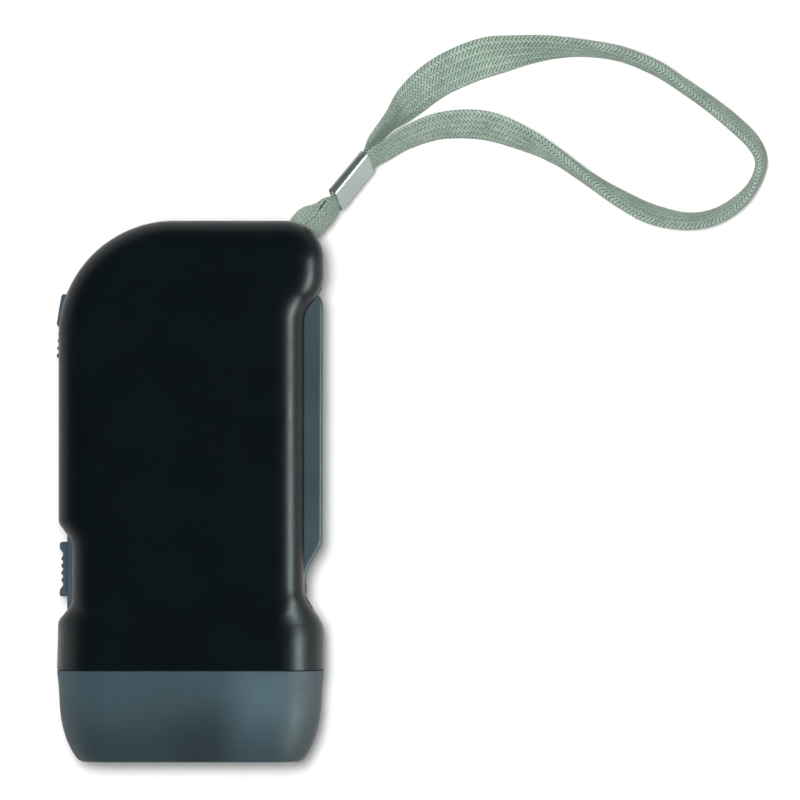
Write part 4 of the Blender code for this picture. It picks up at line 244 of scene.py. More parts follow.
class Bench:
    """Puts arrays into meshes, and cuts, joins and smooths them."""

    @staticmethod
    def grid(name: str, rings: np.ndarray, ring_closed: bool = False) -> Thing:
        """A closed body from a grid of points, rings by points round each ring.

        Args:
            name: the object's name.
            rings: an array of rings, points and x, y, z in millimetres.
            ring_closed: the last ring joins the first; otherwise both end rings get a face.

        Returns:
            The object, at the origin.
        """
        count, around = rings.shape[:2]
        low = np.arange(count if ring_closed else count - 1)[:, None] * around
        high = (low + around) % (count * around)
        here = np.arange(around)[None, :]
        there = (here + 1) % around
        faces = np.stack([low + here, low + there, high + there, high + here], -1).reshape(-1, 4).tolist()
        if not ring_closed:
            faces += [list(range(around))[::-1], list(range((count - 1) * around, count * around))]
        return Bench.body(name, rings.reshape(-1, 3), faces)

    @staticmethod
    @contextmanager
    def opened(mesh: bpy.types.Mesh) -> Iterator[bmesh.types.BMesh]:
        """Opens a mesh for changes and writes them back at the end.

        Args:
            mesh: the mesh.

        Yields:
            Its form that can be changed.
        """
        sheet = bmesh.new()
        sheet.from_mesh(mesh)
        yield sheet
        sheet.to_mesh(mesh)
        sheet.free()

    @staticmethod
    def body(name: str, points: np.ndarray, faces: list) -> Thing:
        """An object from points and faces, with its faces turned outward.

        Args:
            name: the object's name.
            points: x, y and z of each point, in millimetres.
            faces: the numbers of the points round each face.

        Returns:
            The object, at the origin.
        """
        mesh = bpy.data.meshes.new(name)
        mesh.from_pydata((points * MM).tolist(), [], faces)
        mesh.validate()
        with Bench.opened(mesh) as sheet:
            bmesh.ops.recalc_face_normals(sheet, faces=sheet.faces)
        thing = bpy.data.objects.new(name, mesh)
        bpy.context.scene.collection.objects.link(thing)
        return thing

    @staticmethod
    def prism(name: str, points: np.ndarray, low: float, high: float, edge: float = 0.0,
              steps: int = 3) -> Thing:
        """A flat outline carried up Z, with quarter rounds at both ends.

        Args:
            name: the object's name.
            points: the outline, anticlockwise.
            low: height of the lower end over the middle plane.
            high: height of the upper end.
            edge: radius of the rounds: the outline is inset by edge (1 - sin t) at edge (1 - cos t).
            steps: steps of t over each round.

        Returns:
            The object.
        """
        if not edge:
            return Bench.grid(name, np.stack([at_height(points, low), at_height(points, high)]))
        turn = quarter(steps)
        stack = [(low + edge * (1 - math.sin(t)), edge * (1 - math.cos(t))) for t in turn[::-1]]
        stack += [(high - edge * (1 - math.sin(t)), edge * (1 - math.cos(t))) for t in turn]
        return Bench.grid(name, np.stack([at_height(offset_line(points, d), z) for z, d in stack]))

    @staticmethod
    def box(low: Sequence[float], high: Sequence[float]) -> Thing:
        """A cutting block between two corners, heights counted from the middle plane."""
        plan = np.array([(low[0], low[1]), (high[0], low[1]), (high[0], high[1]), (low[0], high[1])])
        return Bench.prism("tool", plan, low[2], high[2])

    @staticmethod
    def turned(name: str, place: Sequence[float], profile: Sequence[Sequence[float]], sides: int = 48,
               along_y: bool = False) -> Thing:
        """A profile of radius and height pairs turned round an axis.

        Args:
            name: the object's name.
            place: x and y of a Z axis, or x and height of a Y axis.
            profile: radius and height pairs; a radius of 0 at an end makes a pole.
            sides: points round the axis.
            along_y: the axis runs along Y instead of Z.

        Returns:
            The object.
        """
        table = np.array(profile, float)
        turn = np.arange(sides) * 2 * math.pi / sides
        radius, height = table[:, :1], np.broadcast_to(table[:, 1:], (len(table), sides))
        one, other = radius * np.cos(turn), radius * np.sin(turn)
        if along_y:
            rings = np.stack([place[0] + one, height, MID_Z + place[1] + other], -1)
        else:
            rings = np.stack([place[0] + one, place[1] + other, MID_Z + height], -1)
        thing = Bench.grid(name, rings)
        with Bench.opened(thing.data) as sheet:
            bmesh.ops.remove_doubles(sheet, verts=sheet.verts, dist=POLE_REACH)
            bmesh.ops.recalc_face_normals(sheet, faces=sheet.faces)
        return thing

    @staticmethod
    def rod(place: Sequence[float], radius: float, low: float, high: float, sides: int = 48) -> Thing:
        """A round cutting bar on a Z axis, with its ends in either order."""
        return Bench.turned("tool", place, [(radius, min(low, high)), (radius, max(low, high))], sides)

    @staticmethod
    def carve(body: Thing, tools: Sequence[Thing], way: Join = Join.CUT) -> Thing:
        """The body with tools cut away or joined on, as a plain mesh; the tools are used up.

        Args:
            body: the object that changes.
            tools: the objects that cut it or join it.
            way: whether they are cut away or joined on.

        Returns:
            The body.
        """
        group = bpy.data.collections.new("tools")
        bpy.context.scene.collection.children.link(group)
        for tool in tools:
            group.objects.link(tool)
        step = body.modifiers.new("carve", "BOOLEAN")
        step.operation, step.solver = way.value, "EXACT"
        step.operand_type, step.collection = "COLLECTION", group
        scene = bpy.context.evaluated_depsgraph_get()
        shaped = bpy.data.meshes.new_from_object(body.evaluated_get(scene))
        old = body.data
        body.modifiers.clear()
        body.data = shaped
        shaped.name = body.name
        bpy.data.meshes.remove(old)
        for tool in tools:
            mesh = tool.data
            bpy.data.objects.remove(tool, do_unlink=True)
            bpy.data.meshes.remove(mesh)
        bpy.data.collections.remove(group)
        return body

    @staticmethod
    def settle(thing: Thing, material: bpy.types.Material, sharp: float) -> None:
        """Merges doubles, smooths the shading up to an edge angle and gives the material.

        Args:
            thing: the object.
            material: its one material.
            sharp: the angle past which an edge shows, in degrees.
        """
        mesh = thing.data
        with Bench.opened(mesh) as sheet:
            bmesh.ops.remove_doubles(sheet, verts=sheet.verts, dist=MERGE_REACH)
            bmesh.ops.dissolve_degenerate(sheet, edges=sheet.edges, dist=MERGE_REACH)
        mesh.shade_smooth()
        mesh.set_sharp_from_angle(angle=math.radians(sharp))
        mesh.materials.clear()
        mesh.materials.append(material)


class Wiring:
    """Adds the nodes of one material and joins their sockets."""

    def __init__(self, name: str) -> None:
        """Starts a material with its shader and its object coordinates.

        Args:
            name: the material's name.
        """
        self.material = bpy.data.materials.new(name)
        self.material.use_nodes = True
        self.tree = self.material.node_tree
        self.shader = self.tree.nodes["Principled BSDF"]
        self.place = self.add("ShaderNodeTexCoord", out="Object")

    def add(self, kind: str, values: Optional[dict] = None, out: Union[int, str] = 0, **settings) -> Socket:
        """A node with its settings made and its inputs set or joined.

        Args:
            kind: the node's type.
            values: input name or number, and its value or the socket that feeds it.
            out: name or number of the output that is handed back.
            **settings: the node's own properties.

        Returns:
            The output socket.
        """
        node = self.tree.nodes.new(kind)
        for key, value in settings.items():
            setattr(node, key, value)
        for key, value in (values or {}).items():
            self.feed(node.inputs[key], value)
        return node.outputs[out]

    def feed(self, socket: Socket, value: Value) -> None:
        """Joins a socket to another, or sets its value.

        Args:
            socket: the input.
            value: the output that feeds it, or its value.
        """
        if isinstance(value, bpy.types.NodeSocket):
            self.tree.links.new(value, socket)
        else:
            socket.default_value = value

    def shade(self, **values: Value) -> None:
        """Feeds the shader's inputs, each named with low lines in place of its spaces."""
        for key, value in values.items():
            self.feed(self.shader.inputs[key.replace("_", " ")], value)

    def parts(self, vector: Socket) -> list[Socket]:
        """The x, y and z of a vector."""
        return list(self.add("ShaderNodeSeparateXYZ", {0: vector}).node.outputs)

    def maths(self, operation: str, *terms: Value) -> Socket:
        """One step of arithmetic on numbers or sockets."""
        return self.add("ShaderNodeMath", dict(enumerate(terms)), operation=operation)

    def noise(self, size: float, detail: float = 3.0, rough: float = 0.55, place: Optional[Socket] = None,
              twist: float = 0.0) -> Socket:
        """Noise whose features are about a size in millimetres."""
        return self.add("ShaderNodeTexNoise", {"Vector": place or self.place, "Scale": 1 / (size * MM),
                                               "Detail": detail, "Roughness": rough, "Distortion": twist})

    def stretched(self, scale: Sequence[float], turn: Sequence[float] = (0, 0, 0)) -> Socket:
        """The object coordinates turned and stretched about the origin."""
        return self.add("ShaderNodeMapping", {"Vector": self.place, "Scale": scale, "Rotation": turn})

    def spread(self, source: Socket, low: float, high: float, to_low: float = 0.0,
               to_high: float = 1.0) -> Socket:
        """A range of a value laid over another, and held at its ends."""
        return self.add("ShaderNodeMapRange", {0: source, 1: low, 2: high, 3: to_low, 4: to_high})

    def eased(self, length: Socket, low: float, high: float, to_low: float, to_high: float) -> Socket:
        """A range of a length in millimetres laid over another, with soft ends."""
        ends = {0: length, 1: low * MM, 2: high * MM, 3: to_low, 4: to_high}
        return self.add("ShaderNodeMapRange", ends, interpolation_type="SMOOTHSTEP")

    def blend(self, share: Value, first: Value, second: Value) -> Socket:
        """Two colours mixed by a share."""
        return self.add("ShaderNodeMix", {0: share, 6: first, 7: second}, out=2, data_type="RGBA")

    def bump(self, height: Socket, depth: float, below: Optional[Socket] = None) -> Socket:
        """A bumped normal.

        Args:
            height: the relief, from 0 to 1.
            depth: what a height of 1 stands for, in millimetres.
            below: the normal that it is laid over.

        Returns:
            The normal.
        """
        values = {"Height": height, "Distance": depth * MM, "Strength": 1.0}
        if below is not None:
            values["Normal"] = below
        return self.add("ShaderNodeBump", values)


class Texture(Enum):
    """The surface that a finish shows close to."""

    SPARK = "spark eroded moulding"
    SATIN = "satin moulding"
    # SMOKED darkens by painted shade and a painted dark reflection, with a painted highlight
    SMOKED = "smoke tinted moulding, darker where the hollow shows through"
    CLEAR = "clear moulding"
    BRUSHED = "metal brushed along Y"
    TURNED = "metal turned round Z"
    PLATED = "bright plating"
    BOARD = "circuit board with tracks"
    WOUND = "wire wound round Z"
    WRAPPED = "shrunk sleeve"


@dataclass(frozen=True)
class Finish:
    """A finish: its plain shader values, and the size and depth of its close texture."""

    colour: tuple[float, float, float]
    roughness: float
    texture: Texture = Texture.SATIN
    metallic: float = 0.0
    coat: float = 0.0
    specular: float = 0.5
    transmission: float = 0.0
    ior: float = 1.5
    grain: float = 0.3
    depth: float = 0.004
    mottle: float = 0.12

    def material(self, name: str) -> bpy.types.Material:
        """The material of the finish.

        Colour strays by broad noise, roughness by smudges and fine scuffs, and the texture gives
        the bump.

        Args:
            name: the material's name.

        Returns:
            The material.
        """
        wires = Wiring(name)
        wires.shade(Metallic=self.metallic, Coat_Weight=self.coat, Coat_Roughness=0.08, IOR=self.ior,
                    Specular_IOR_Level=self.specular, Transmission_Weight=self.transmission)
        tone, shine, normal = getattr(self, f"_{self.texture.name.lower()}")(wires)
        wires.shade(Base_Color=tone, Roughness=shine, Normal=normal)
        wires.material.diffuse_color = (*self.colour, 1.0)
        return wires.material

    def _tint(self, share: float) -> tuple[float, float, float, float]:
        """The colour made lighter by a share, or darker by a negative one."""
        return (*(min(1.0, max(0.0, c * (1 + share))) for c in self.colour), 1.0)

    def _mottled(self, wires: Wiring, size: float) -> Socket:
        """The colour, darker and lighter by broad noise of a size."""
        broad = wires.spread(wires.noise(size, 4.0), 0.3, 0.7)
        return wires.blend(broad, self._tint(-self.mottle), self._tint(self.mottle))

    @staticmethod
    def _smudged(wires: Wiring, size: float) -> Socket:
        """Smudges of a size, from 0 to 1."""
        return wires.spread(wires.noise(size, 5.0, 0.65, twist=0.6), 0.35, 0.75)

    def _common(self, wires: Wiring) -> tuple[Socket, Socket]:
        """Broad mottling of the colour, and smudges with fine scuffs in the roughness.

        Args:
            wires: the material's nodes.

        Returns:
            The colour and the roughness.
        """
        hairs = wires.add("ShaderNodeTexNoise", {"Vector": wires.stretched((1, 0.04, 1), (0, 0, 0.5)),
                                                 "Scale": 2600.0, "Detail": 2.0})
        scuff = wires.spread(hairs, 0.62, 0.72)
        worn = wires.maths("MULTIPLY", scuff, wires.spread(wires.noise(9.0, 2.0), 0.5, 0.7))
        smudge = wires.maths("MULTIPLY_ADD", self._smudged(wires, 6.0), self.roughness * 0.25,
                             self.roughness * 0.88)
        shine = wires.maths("ADD", smudge, wires.maths("MULTIPLY", worn, 0.12))
        tone = wires.blend(wires.maths("MULTIPLY", worn, 0.35), self._mottled(wires, 14.0), self._tint(0.8))
        return tone, shine

    def _spark(self, wires: Wiring) -> Surface:
        """Spark erosion: pits at the grain's size with finer ones among them.

        Args:
            wires: the material's nodes.

        Returns:
            The colour, the roughness and the normal.
        """
        tone, shine = self._common(wires)
        coarse = wires.maths("MULTIPLY", wires.noise(self.grain, 3.0, 0.6), 0.7)
        fine = wires.maths("MULTIPLY", wires.noise(self.grain * 0.37, 2.0), 0.3)
        pits = wires.maths("ADD", coarse, fine)
        tone = wires.blend(wires.spread(pits, 0.56, 0.7), tone, self._tint(0.5))
        return tone, shine, wires.bump(pits, self.depth)

    def _satin(self, wires: Wiring) -> Surface:
        """A fine even grain."""
        return *self._common(wires), wires.bump(wires.noise(self.grain, 3.0), self.depth)

    def _smoked(self, wires: Wiring) -> Surface:
        """Smoke tinted resin.

        It carries painted light: painted shade that deepens towards the open front, a painted dark
        reflection over the gap between the dishes, and a painted highlight along its right side.

        Args:
            wires: the material's nodes.

        Returns:
            The colour, the roughness and the normal.
        """
        x, y, _ = wires.parts(wires.place)
        # painted highlight: a band along the right side, paler towards the front
        highlight_band = wires.maths("MULTIPLY", wires.eased(x, 4.0, 13.5, 0.0, 1.0),
                               wires.eased(x, 16.5, 21.5, 1.0, 0.0))
        pale = wires.maths("MULTIPLY", wires.eased(y, -27.5, -40.0, 0.05, 0.85), highlight_band)
        tone = wires.blend(pale, self._mottled(wires, 11.0), self._tint(0.85))
        # painted dark reflection over the middle of the front
        away = wires.maths("ABSOLUTE", wires.maths("SUBTRACT", x, 1.8 * MM))
        gap = wires.maths("MULTIPLY", wires.eased(away, 1.0, 16.5, 1.0, 0.0),
                          wires.eased(y, -36.0, -50.0, 0.0, 0.7))
        # painted shade deepening towards the front, joined with the painted dark reflection
        share = wires.maths("MAXIMUM", wires.eased(y, -38.0, -52.0, 0.0, 0.55), gap)
        tone = wires.blend(share, tone, self._tint(-0.75))
        shine = wires.maths("MULTIPLY_ADD", self._smudged(wires, 5.0), 0.1, self.roughness - 0.05)
        return tone, shine, wires.bump(wires.noise(self.grain, 3.0), self.depth)

    def _clear(self, wires: Wiring) -> Surface:
        """Clear resin with a slow ripple and faint smudges.

        Args:
            wires: the material's nodes.

        Returns:
            The colour, the roughness and the normal.
        """
        _, shine = self._common(wires)
        tone = wires.blend(wires.spread(wires.noise(9.0), 0.3, 0.7), self._tint(-0.02), self._tint(0.02))
        return tone, shine, wires.bump(wires.noise(5.0, 1.0), self.depth)

    def _streaked(self, wires: Wiring, scale: Sequence[float], strokes: Sequence[float],
                  share: float) -> Surface:
        """Fine strokes along one way, in the roughness and the bump.

        Args:
            wires: the material's nodes.
            scale: how the noise is stretched along X, Y and Z; the smaller, the longer.
            strokes: the noise's detail and roughness.
            share: how much the strokes add to the roughness.

        Returns:
            The colour, the roughness and the normal.
        """
        tone, shine = self._common(wires)
        marks = wires.noise(self.grain, *strokes, wires.stretched(scale))
        shine = wires.maths("ADD", shine, wires.maths("MULTIPLY", marks, share))
        return tone, shine, wires.bump(marks, self.depth)

    def _brushed(self, wires: Wiring) -> Surface:
        """Long fine strokes along Y."""
        return self._streaked(wires, (1, 0.03, 1), (4.0, 0.7), 0.14)

    def _turned(self, wires: Wiring) -> Surface:
        """Tool marks level with the table."""
        return self._streaked(wires, (0.05, 0.05, 1), (3.0, 0.6), 0.12)

    def _plated(self, wires: Wiring) -> Surface:
        """Bright plating over a slightly uneven moulding."""
        return *self._common(wires), wires.bump(wires.noise(1.6, 2.0), self.depth)

    def _board(self, wires: Wiring) -> Surface:
        """A weave under the lacquer, and tracks as the edges of large cells.

        Args:
            wires: the material's nodes.

        Returns:
            The colour, the roughness and the normal.
        """
        tone, shine = self._common(wires)
        cells = wires.add("ShaderNodeTexVoronoi", {"Vector": wires.place, "Scale": 420.0},
                          feature="DISTANCE_TO_EDGE", distance="MANHATTAN")
        track = wires.spread(cells, 0.05, 0.07, 1.0, 0.0)
        tone = wires.blend(wires.maths("MULTIPLY", track, 0.6), tone, self._tint(0.9))
        return tone, shine, wires.bump(track, 0.03, wires.bump(wires.noise(0.3), self.depth))

    def _wound(self, wires: Wiring) -> Surface:
        """Level turns of fine wire: a wave up Z, with painted shade in the valleys between the turns.

        Args:
            wires: the material's nodes.

        Returns:
            The colour, the roughness and the normal.
        """
        tone, shine = self._common(wires)
        wave = {"Vector": wires.place, "Scale": 1 / (self.grain * MM * 6.4), "Distortion": 0.6}
        turns = wires.add("ShaderNodeTexWave", wave, wave_type="BANDS", bands_direction="Z")
        # painted shade: the valleys between the turns are painted darker
        tone = wires.blend(wires.maths("MULTIPLY", turns, 0.7), self._tint(-0.6), tone)
        return tone, shine, wires.bump(turns, self.grain * 0.4)

    def _wrapped(self, wires: Wiring) -> Surface:
        """A shrunk sleeve with slow creases."""
        crease = wires.noise(3.0, 3.0, 0.5, wires.stretched((1, 1, 0.3)))
        return *self._common(wires), wires.bump(crease, 0.12)


FINISHES: dict[str, Finish] = {
    "black_shell": Finish((0.0033, 0.0062, 0.0082), 0.36, Texture.SPARK, specular=0.16, grain=0.34,
                          depth=0.016, mottle=0.16),
    "smoke_head": Finish((0.05, 0.083, 0.1), 0.6, Texture.SMOKED, specular=0.3, grain=0.3,
                         depth=0.006, mottle=0.07),
    "grey_slider": Finish((0.064, 0.092, 0.12), 0.5, Texture.SATIN, specular=0.3, grain=0.28, depth=0.007),
    "grey_lever": Finish((0.052, 0.08, 0.09), 0.44, Texture.SATIN, specular=0.25, grain=0.4, depth=0.008),
    "white_nylon": Finish((0.74, 0.73, 0.67), 0.42, Texture.SATIN, grain=0.5, depth=0.004, mottle=0.05),
    "clear_lens": Finish((0.93, 0.96, 0.97), 0.04, Texture.CLEAR, transmission=1.0, ior=1.49,
                         depth=0.002, mottle=0.02),
    "chrome": Finish((0.82, 0.83, 0.85), 0.08, Texture.PLATED, metallic=1.0, depth=0.004, mottle=0.03),
    "steel": Finish((0.55, 0.55, 0.55), 0.3, Texture.TURNED, metallic=1.0, grain=0.2, depth=0.004),
    "crimp_steel": Finish((0.37, 0.42, 0.4), 0.26, Texture.BRUSHED, metallic=0.75, grain=0.25,
                          depth=0.004, mottle=0.06),
    "board_green": Finish((0.018, 0.13, 0.055), 0.34, Texture.BOARD, coat=0.4),
    "lamp_clear": Finish((0.95, 0.96, 0.94), 0.06, Texture.CLEAR, transmission=1.0, depth=0.001,
                         mottle=0.01),
    "copper": Finish((0.66, 0.26, 0.11), 0.3, Texture.WOUND, metallic=0.85, grain=0.16),
    "magnet": Finish((0.06, 0.06, 0.066), 0.55, Texture.SATIN, metallic=0.3, grain=0.5, depth=0.02),
    "cell_wrap": Finish((0.025, 0.2, 0.11), 0.33, Texture.WRAPPED, coat=0.2),
    "brass": Finish((0.68, 0.46, 0.16), 0.28, Texture.BRUSHED, metallic=1.0),
    "red_lead": Finish((0.5, 0.022, 0.015), 0.36, Texture.SATIN, coat=0.15),
    "black_lead": Finish((0.016, 0.016, 0.017), 0.38, Texture.SATIN, coat=0.15),
    "black_part": Finish((0.018, 0.018, 0.02), 0.5, Texture.SATIN, grain=0.35, depth=0.008),
}


class Dresser:
    """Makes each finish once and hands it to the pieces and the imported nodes."""

    def __init__(self) -> None:
        """Starts with no materials made."""
        self.made: dict[str, bpy.types.Material] = {}

    def material(self, slot: str) -> bpy.types.Material:
        """The material of a slot, made the first time that it is asked for.

        Args:
            slot: the record's material slot.

        Returns:
            The material.
        """
        if slot not in self.made:
            self.made[slot] = FINISHES[slot].material(slot)
        return self.made[slot]

    def fit(self, piece: Thing, slot: str, body: str, node: str, sharp: float = 32.0) -> None:
        """Gives a piece its finish, its body and the node that it stands for.

        Args:
            piece: the finished shape.
            slot: the record's material slot.
            body: the body that it moves with.
            node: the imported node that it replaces.
            sharp: the angle past which an edge shows, in degrees.
        """
        Bench.settle(piece, self.material(slot), sharp)
        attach(piece, body)
        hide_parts(node)
        LOG.info("%s: %d faces, %s, on %s", piece.name, len(piece.data.polygons), slot, body)

    def dress_nodes(self, hidden: set[str]) -> None:
        """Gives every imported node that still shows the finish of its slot.

        Args:
            hidden: the nodes that pieces replace.
        """
        for part in frame["record"]["subparts"]:
            if part["node"] in hidden:
                continue
            for holder in frame["nodes"][part["node"]].material_slots:
                holder.material = self.material(part["material_slot"])


class SubAssembly:
    """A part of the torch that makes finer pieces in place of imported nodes."""

    def pieces(self) -> Iterator[tuple[Thing, str, str, str]]:
        """Each piece in order, with its slot, its body and the node that it replaces."""
        raise NotImplementedError

    def build(self, dresser: Dresser) -> set[str]:
        """Builds and dresses the pieces.

        Args:
            dresser: gives the finishes.

        Returns:
            The nodes that are replaced.
        """
        hidden = set()
        for piece, slot, body, node in self.pieces():
            dresser.fit(piece, slot, body, node)
            hidden.add(node)
        return hidden


def tail_share(y: np.ndarray) -> np.ndarray:
    """0 at the head end, where the long edges are fullest, and 1 past the run: 3 s s - 2 s s s."""
    share = np.clip((y - FULL_UNTIL) / THINNING_RUN, 0, 1)
    return share * share * (3 - 2 * share)


class Half(Enum):
    """A half of the housing, as the sign of its heights over the middle plane."""

    UPPER = 1
    LOWER = -1


@dataclass(frozen=True)
class Screw:
    """A screw driven up from below: a domed head with a cross recess, and a shank with a short tip.

    The tip is a radius and a height over the head's seat. The recess narrows upward from one row
    to the next: a half length, a half width and a height over the seat.
    """

    seat: float = 4.85 - HALF_DEPTH
    head: float = 2.2
    head_side: float = 1.1
    dome: float = 0.4
    edge: float = 0.1
    shank: float = 1.0
    length: float = 13.0
    tip: tuple[float, float] = (0.3, 14.0)
    recess: tuple[Corner, ...] = ((1.3, 0.24, -2.0), (0.55, 0.16, -0.7))
    recess_turn: float = 0.35

    def build(self, name: str, place: Sequence[float]) -> Thing:
        """The screw's profile turned, less two tapered bars.

        Args:
            name: the object's name.
            place: x and y of its axis.

        Returns:
            The object.
        """
        seat = self.seat
        profile = [(self.head * math.sin(t), seat - self.head_side - self.dome * math.cos(t))
                   for t in quarter(6)]
        profile += [(self.head, seat - self.edge), (self.head - self.edge, seat), (self.shank, seat),
                    (self.shank, seat + self.length), (self.tip[0], seat + self.tip[1])]
        screw = Bench.turned(name, place, profile, 40)
        bars = []
        for turn in (self.recess_turn, self.recess_turn + math.pi / 2):
            along = np.array([math.cos(turn), math.sin(turn)])
            rings = []
            for a, b, z in self.recess:
                plan = local_points(np.array(place), along, [(-a, -b), (a, -b), (a, b), (-a, b)])
                rings.append(at_height(plan, seat + z))
            bars.append(Bench.grid("tool", np.stack(rings)))
        return Bench.carve(screw, bars)


@dataclass
class Housing(SubAssembly):
    """The two black shells, with their bosses, slots and seats, and the five screws.

    The fine and the coarse steps are the largest turn of an arc in degrees and the longest side.
    Heights are counted from the middle plane, and tools start a little past it. A boss or a post
    is a radius and the height where it starts, and a bore is a radius and the height where it
    ends. The cradle's radius is counted past the cell's. Each axle has the height where its boss
    starts, and its bore's depth is counted from there. The sink is its radius, its mouth's radius
    and its depth. A wall or slot in the lock's frame is its two ends along, its two sides out
    and the height where it ends.
    """

    screws: Screw = Screw()
    edge_steps: int = 20
    edge_break: float = 0.14
    fine_steps: tuple[float, float] = (3.0, 2.2)
    coarse_steps: tuple[float, float] = (10.0, 60.0)
    inner_round: float = 3.0
    cavity_steps: int = 6
    past: float = 1.0
    boss_radius: float = 2.9
    pivot_boss: tuple[float, float] = (3.0, 8.0)
    axle_boss: float = 2.3
    upper_axles: tuple[tuple[np.ndarray, float], ...] = ((DRIVE_AXIS, 1.8), (FLYWHEEL_AXIS, 6.8))
    lower_axles: tuple[tuple[np.ndarray, float], ...] = (
        (DRIVE_AXIS, 6.0), (IDLER_AXIS, 9.2), (FLYWHEEL_AXIS, 9.2))
    axle_bore: tuple[float, float] = (1.06, 2.9)
    pivot_bore: tuple[float, float] = (1.56, 10.9)
    pin_bore: tuple[float, float] = (0.96, 5.9)
    upper_thread: tuple[float, float] = (1.06, 3.8)
    lower_passage: tuple[float, float] = (1.15, 15.0)
    sink: tuple[float, float, float] = (2.5, 2.9, 5.0)
    sink_lip: float = 0.4
    cradle: tuple[float, float] = (1.5, 8.7)
    cell_seat: tuple[float, float] = (7.7, 13.7)
    switch_floor: float = -14.7
    board_post: tuple[float, float] = (1.6, 8.5)
    board_posts: tuple[float, float] = (2.6, 7.1)
    lever_mouth: tuple[float, float, float, float] = (14.85, -22.95, 27.0, 39.75)
    head_block: tuple[float, float, float] = (44.0, -53.6, 31.0)
    pocket_turn: float = 51.0
    pocket_ends: tuple[float, float] = (3.0, 12.0)
    pocket_halves: tuple[float, float] = (2.9, 5.3)
    pocket_wall: tuple[float, float] = (1.4, 6.2)
    pocket_depth: float = 4.8
    lock_wall: tuple[float, ...] = (-8.15, 10.65, -2.8, 2.8, 5.6)
    lock_slots: tuple[tuple[float, ...], ...] = ((-6.85, 9.35, -1.5, 2.8, 4.3), (-2.0, 4.5, -3.8, 0.0, 2.3))
    switch_slot: tuple[float, float] = (-1.0, 2.8)

    def skin(self, depth: float, side: int, start: float, steps: int, fine: bool) -> np.ndarray:
        """Rings of the housing's skin from near the seam up to the flat side.

        Each ring is the outline drawn in towards an inner outline by 1 - cos t, at a height that
        grows with sin t, so that a section of the edge is a quarter ellipse. Its height is the
        plain round along the grip and the fuller one at the head.

        Args:
            depth: how far inside the outer skin it runs.
            side: 1 for the upper shell and -1 for the lower.
            start: height of the first ring over the middle plane.
            steps: steps of t.
            fine: the outer skin's close spacing and broken seam edge, or the cavity's wide one.

        Returns:
            The grid of rings.
        """
        step, longest = self.fine_steps if fine else self.coarse_steps
        plan = rounded_outline(inset_corners(BODY_CORNERS, depth) if depth else BODY_CORNERS, step)
        inner = rounded_outline([(x, y, max(least, self.inner_round))
                                 for x, y, least in inset_corners(BODY_CORNERS, EDGE_ROUND)], step)
        inner = finer(inner, longest, plan)
        plan = finer(plan, longest)
        straight = np.clip(inner[:, 0], EDGE_ROUND - GRIP_X, GRIP_X - EDGE_ROUND)
        inner[:, 0] = straight + (inner[:, 0] - straight) * tail_share(inner[:, 1])
        rings = [at_height(plan, side * start)]
        if fine:
            rings = [at_height(offset_line(plan, self.edge_break), side * start),
                     at_height(plan, side * (start + self.edge_break))]
        for turn in quarter(steps):
            place = plan * math.cos(turn) + inner * (1 - math.cos(turn))
            full = HEAD_ROUND + (EDGE_ROUND - HEAD_ROUND) * tail_share(place[:, 1])
            rings.append(at_height(place, side * (HALF_DEPTH - full + (full - depth) * math.sin(turn))))
        return np.stack(rings)

    def rod(self, side: int, place: Sequence[float], radius: float, near: float, far: float,
            sides: int = 40) -> Thing:
        """A round tool between two heights on one side of the middle plane."""
        return Bench.rod(place, radius, side * near, side * far, sides)

    def prism(self, side: int, plan: np.ndarray, far: float) -> Thing:
        """A flat tool from a little past the middle plane to a height on one side."""
        return Bench.prism("tool", plan, *sorted((-side * self.past, side * far)))

    @staticmethod
    def block(start: float, end: float, low: float, high: float) -> np.ndarray:
        """Plan of a block in the lock's frame."""
        return local_points(LOCK_MIDDLE, LOCK_WAY, [(start, low), (end, low), (end, high), (start, high)])

    def pocket(self, extra: float) -> np.ndarray:
        """Plan of the strap's pocket, wider at its mouth.

        Args:
            extra: the wall by which it grows, but for its mouth's end.

        Returns:
            The four points.
        """
        turn = math.radians(self.pocket_turn)
        start, end = -self.pocket_ends[0] - extra, self.pocket_ends[1]
        back, mouth = (half + extra for half in self.pocket_halves)
        return local_points(STRAP_PIN, np.array([math.cos(turn), math.sin(turn)]),
                            [(start, -back), (end, -mouth), (end, mouth), (start, back)])

    def cell(self) -> tuple[list[float], float]:
        """Middle and radius of the storage cell, in millimetres."""
        low, high = (np.array(corner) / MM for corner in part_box("storage_cell"))
        return ((low + high)[:2] / 2).tolist(), float(high[0] - low[0]) / 2

    def lower_seats(self, roof: float) -> list[Thing]:
        """What stands in the lower shell alone: the cell's cradle, the switch's seat and the board's posts.

        Args:
            roof: how far each reaches, into the shell's flat wall.

        Returns:
            The tools that the cavity is cut with.
        """
        middle, radius = self.cell()
        seats = [self.rod(-1, middle, radius + self.cradle[0], self.cradle[1], roof)]
        low, high = (np.array(corner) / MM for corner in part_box("switch_block"))
        seats.append(Bench.box((low[0], low[1], self.switch_floor),
                               (high[0], high[1], low[2] - MID_Z - CLEARANCE)))
        low, high = (np.array(corner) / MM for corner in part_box("charge_board"))
        x, y = (low + high)[:2] / 2
        radius, start = self.board_post
        aside, along = self.board_posts
        for s in (-1, 1):
            seats.append(self.rod(-1, (x + s * aside, y + s * along), radius, start, roof, 24))
        return seats

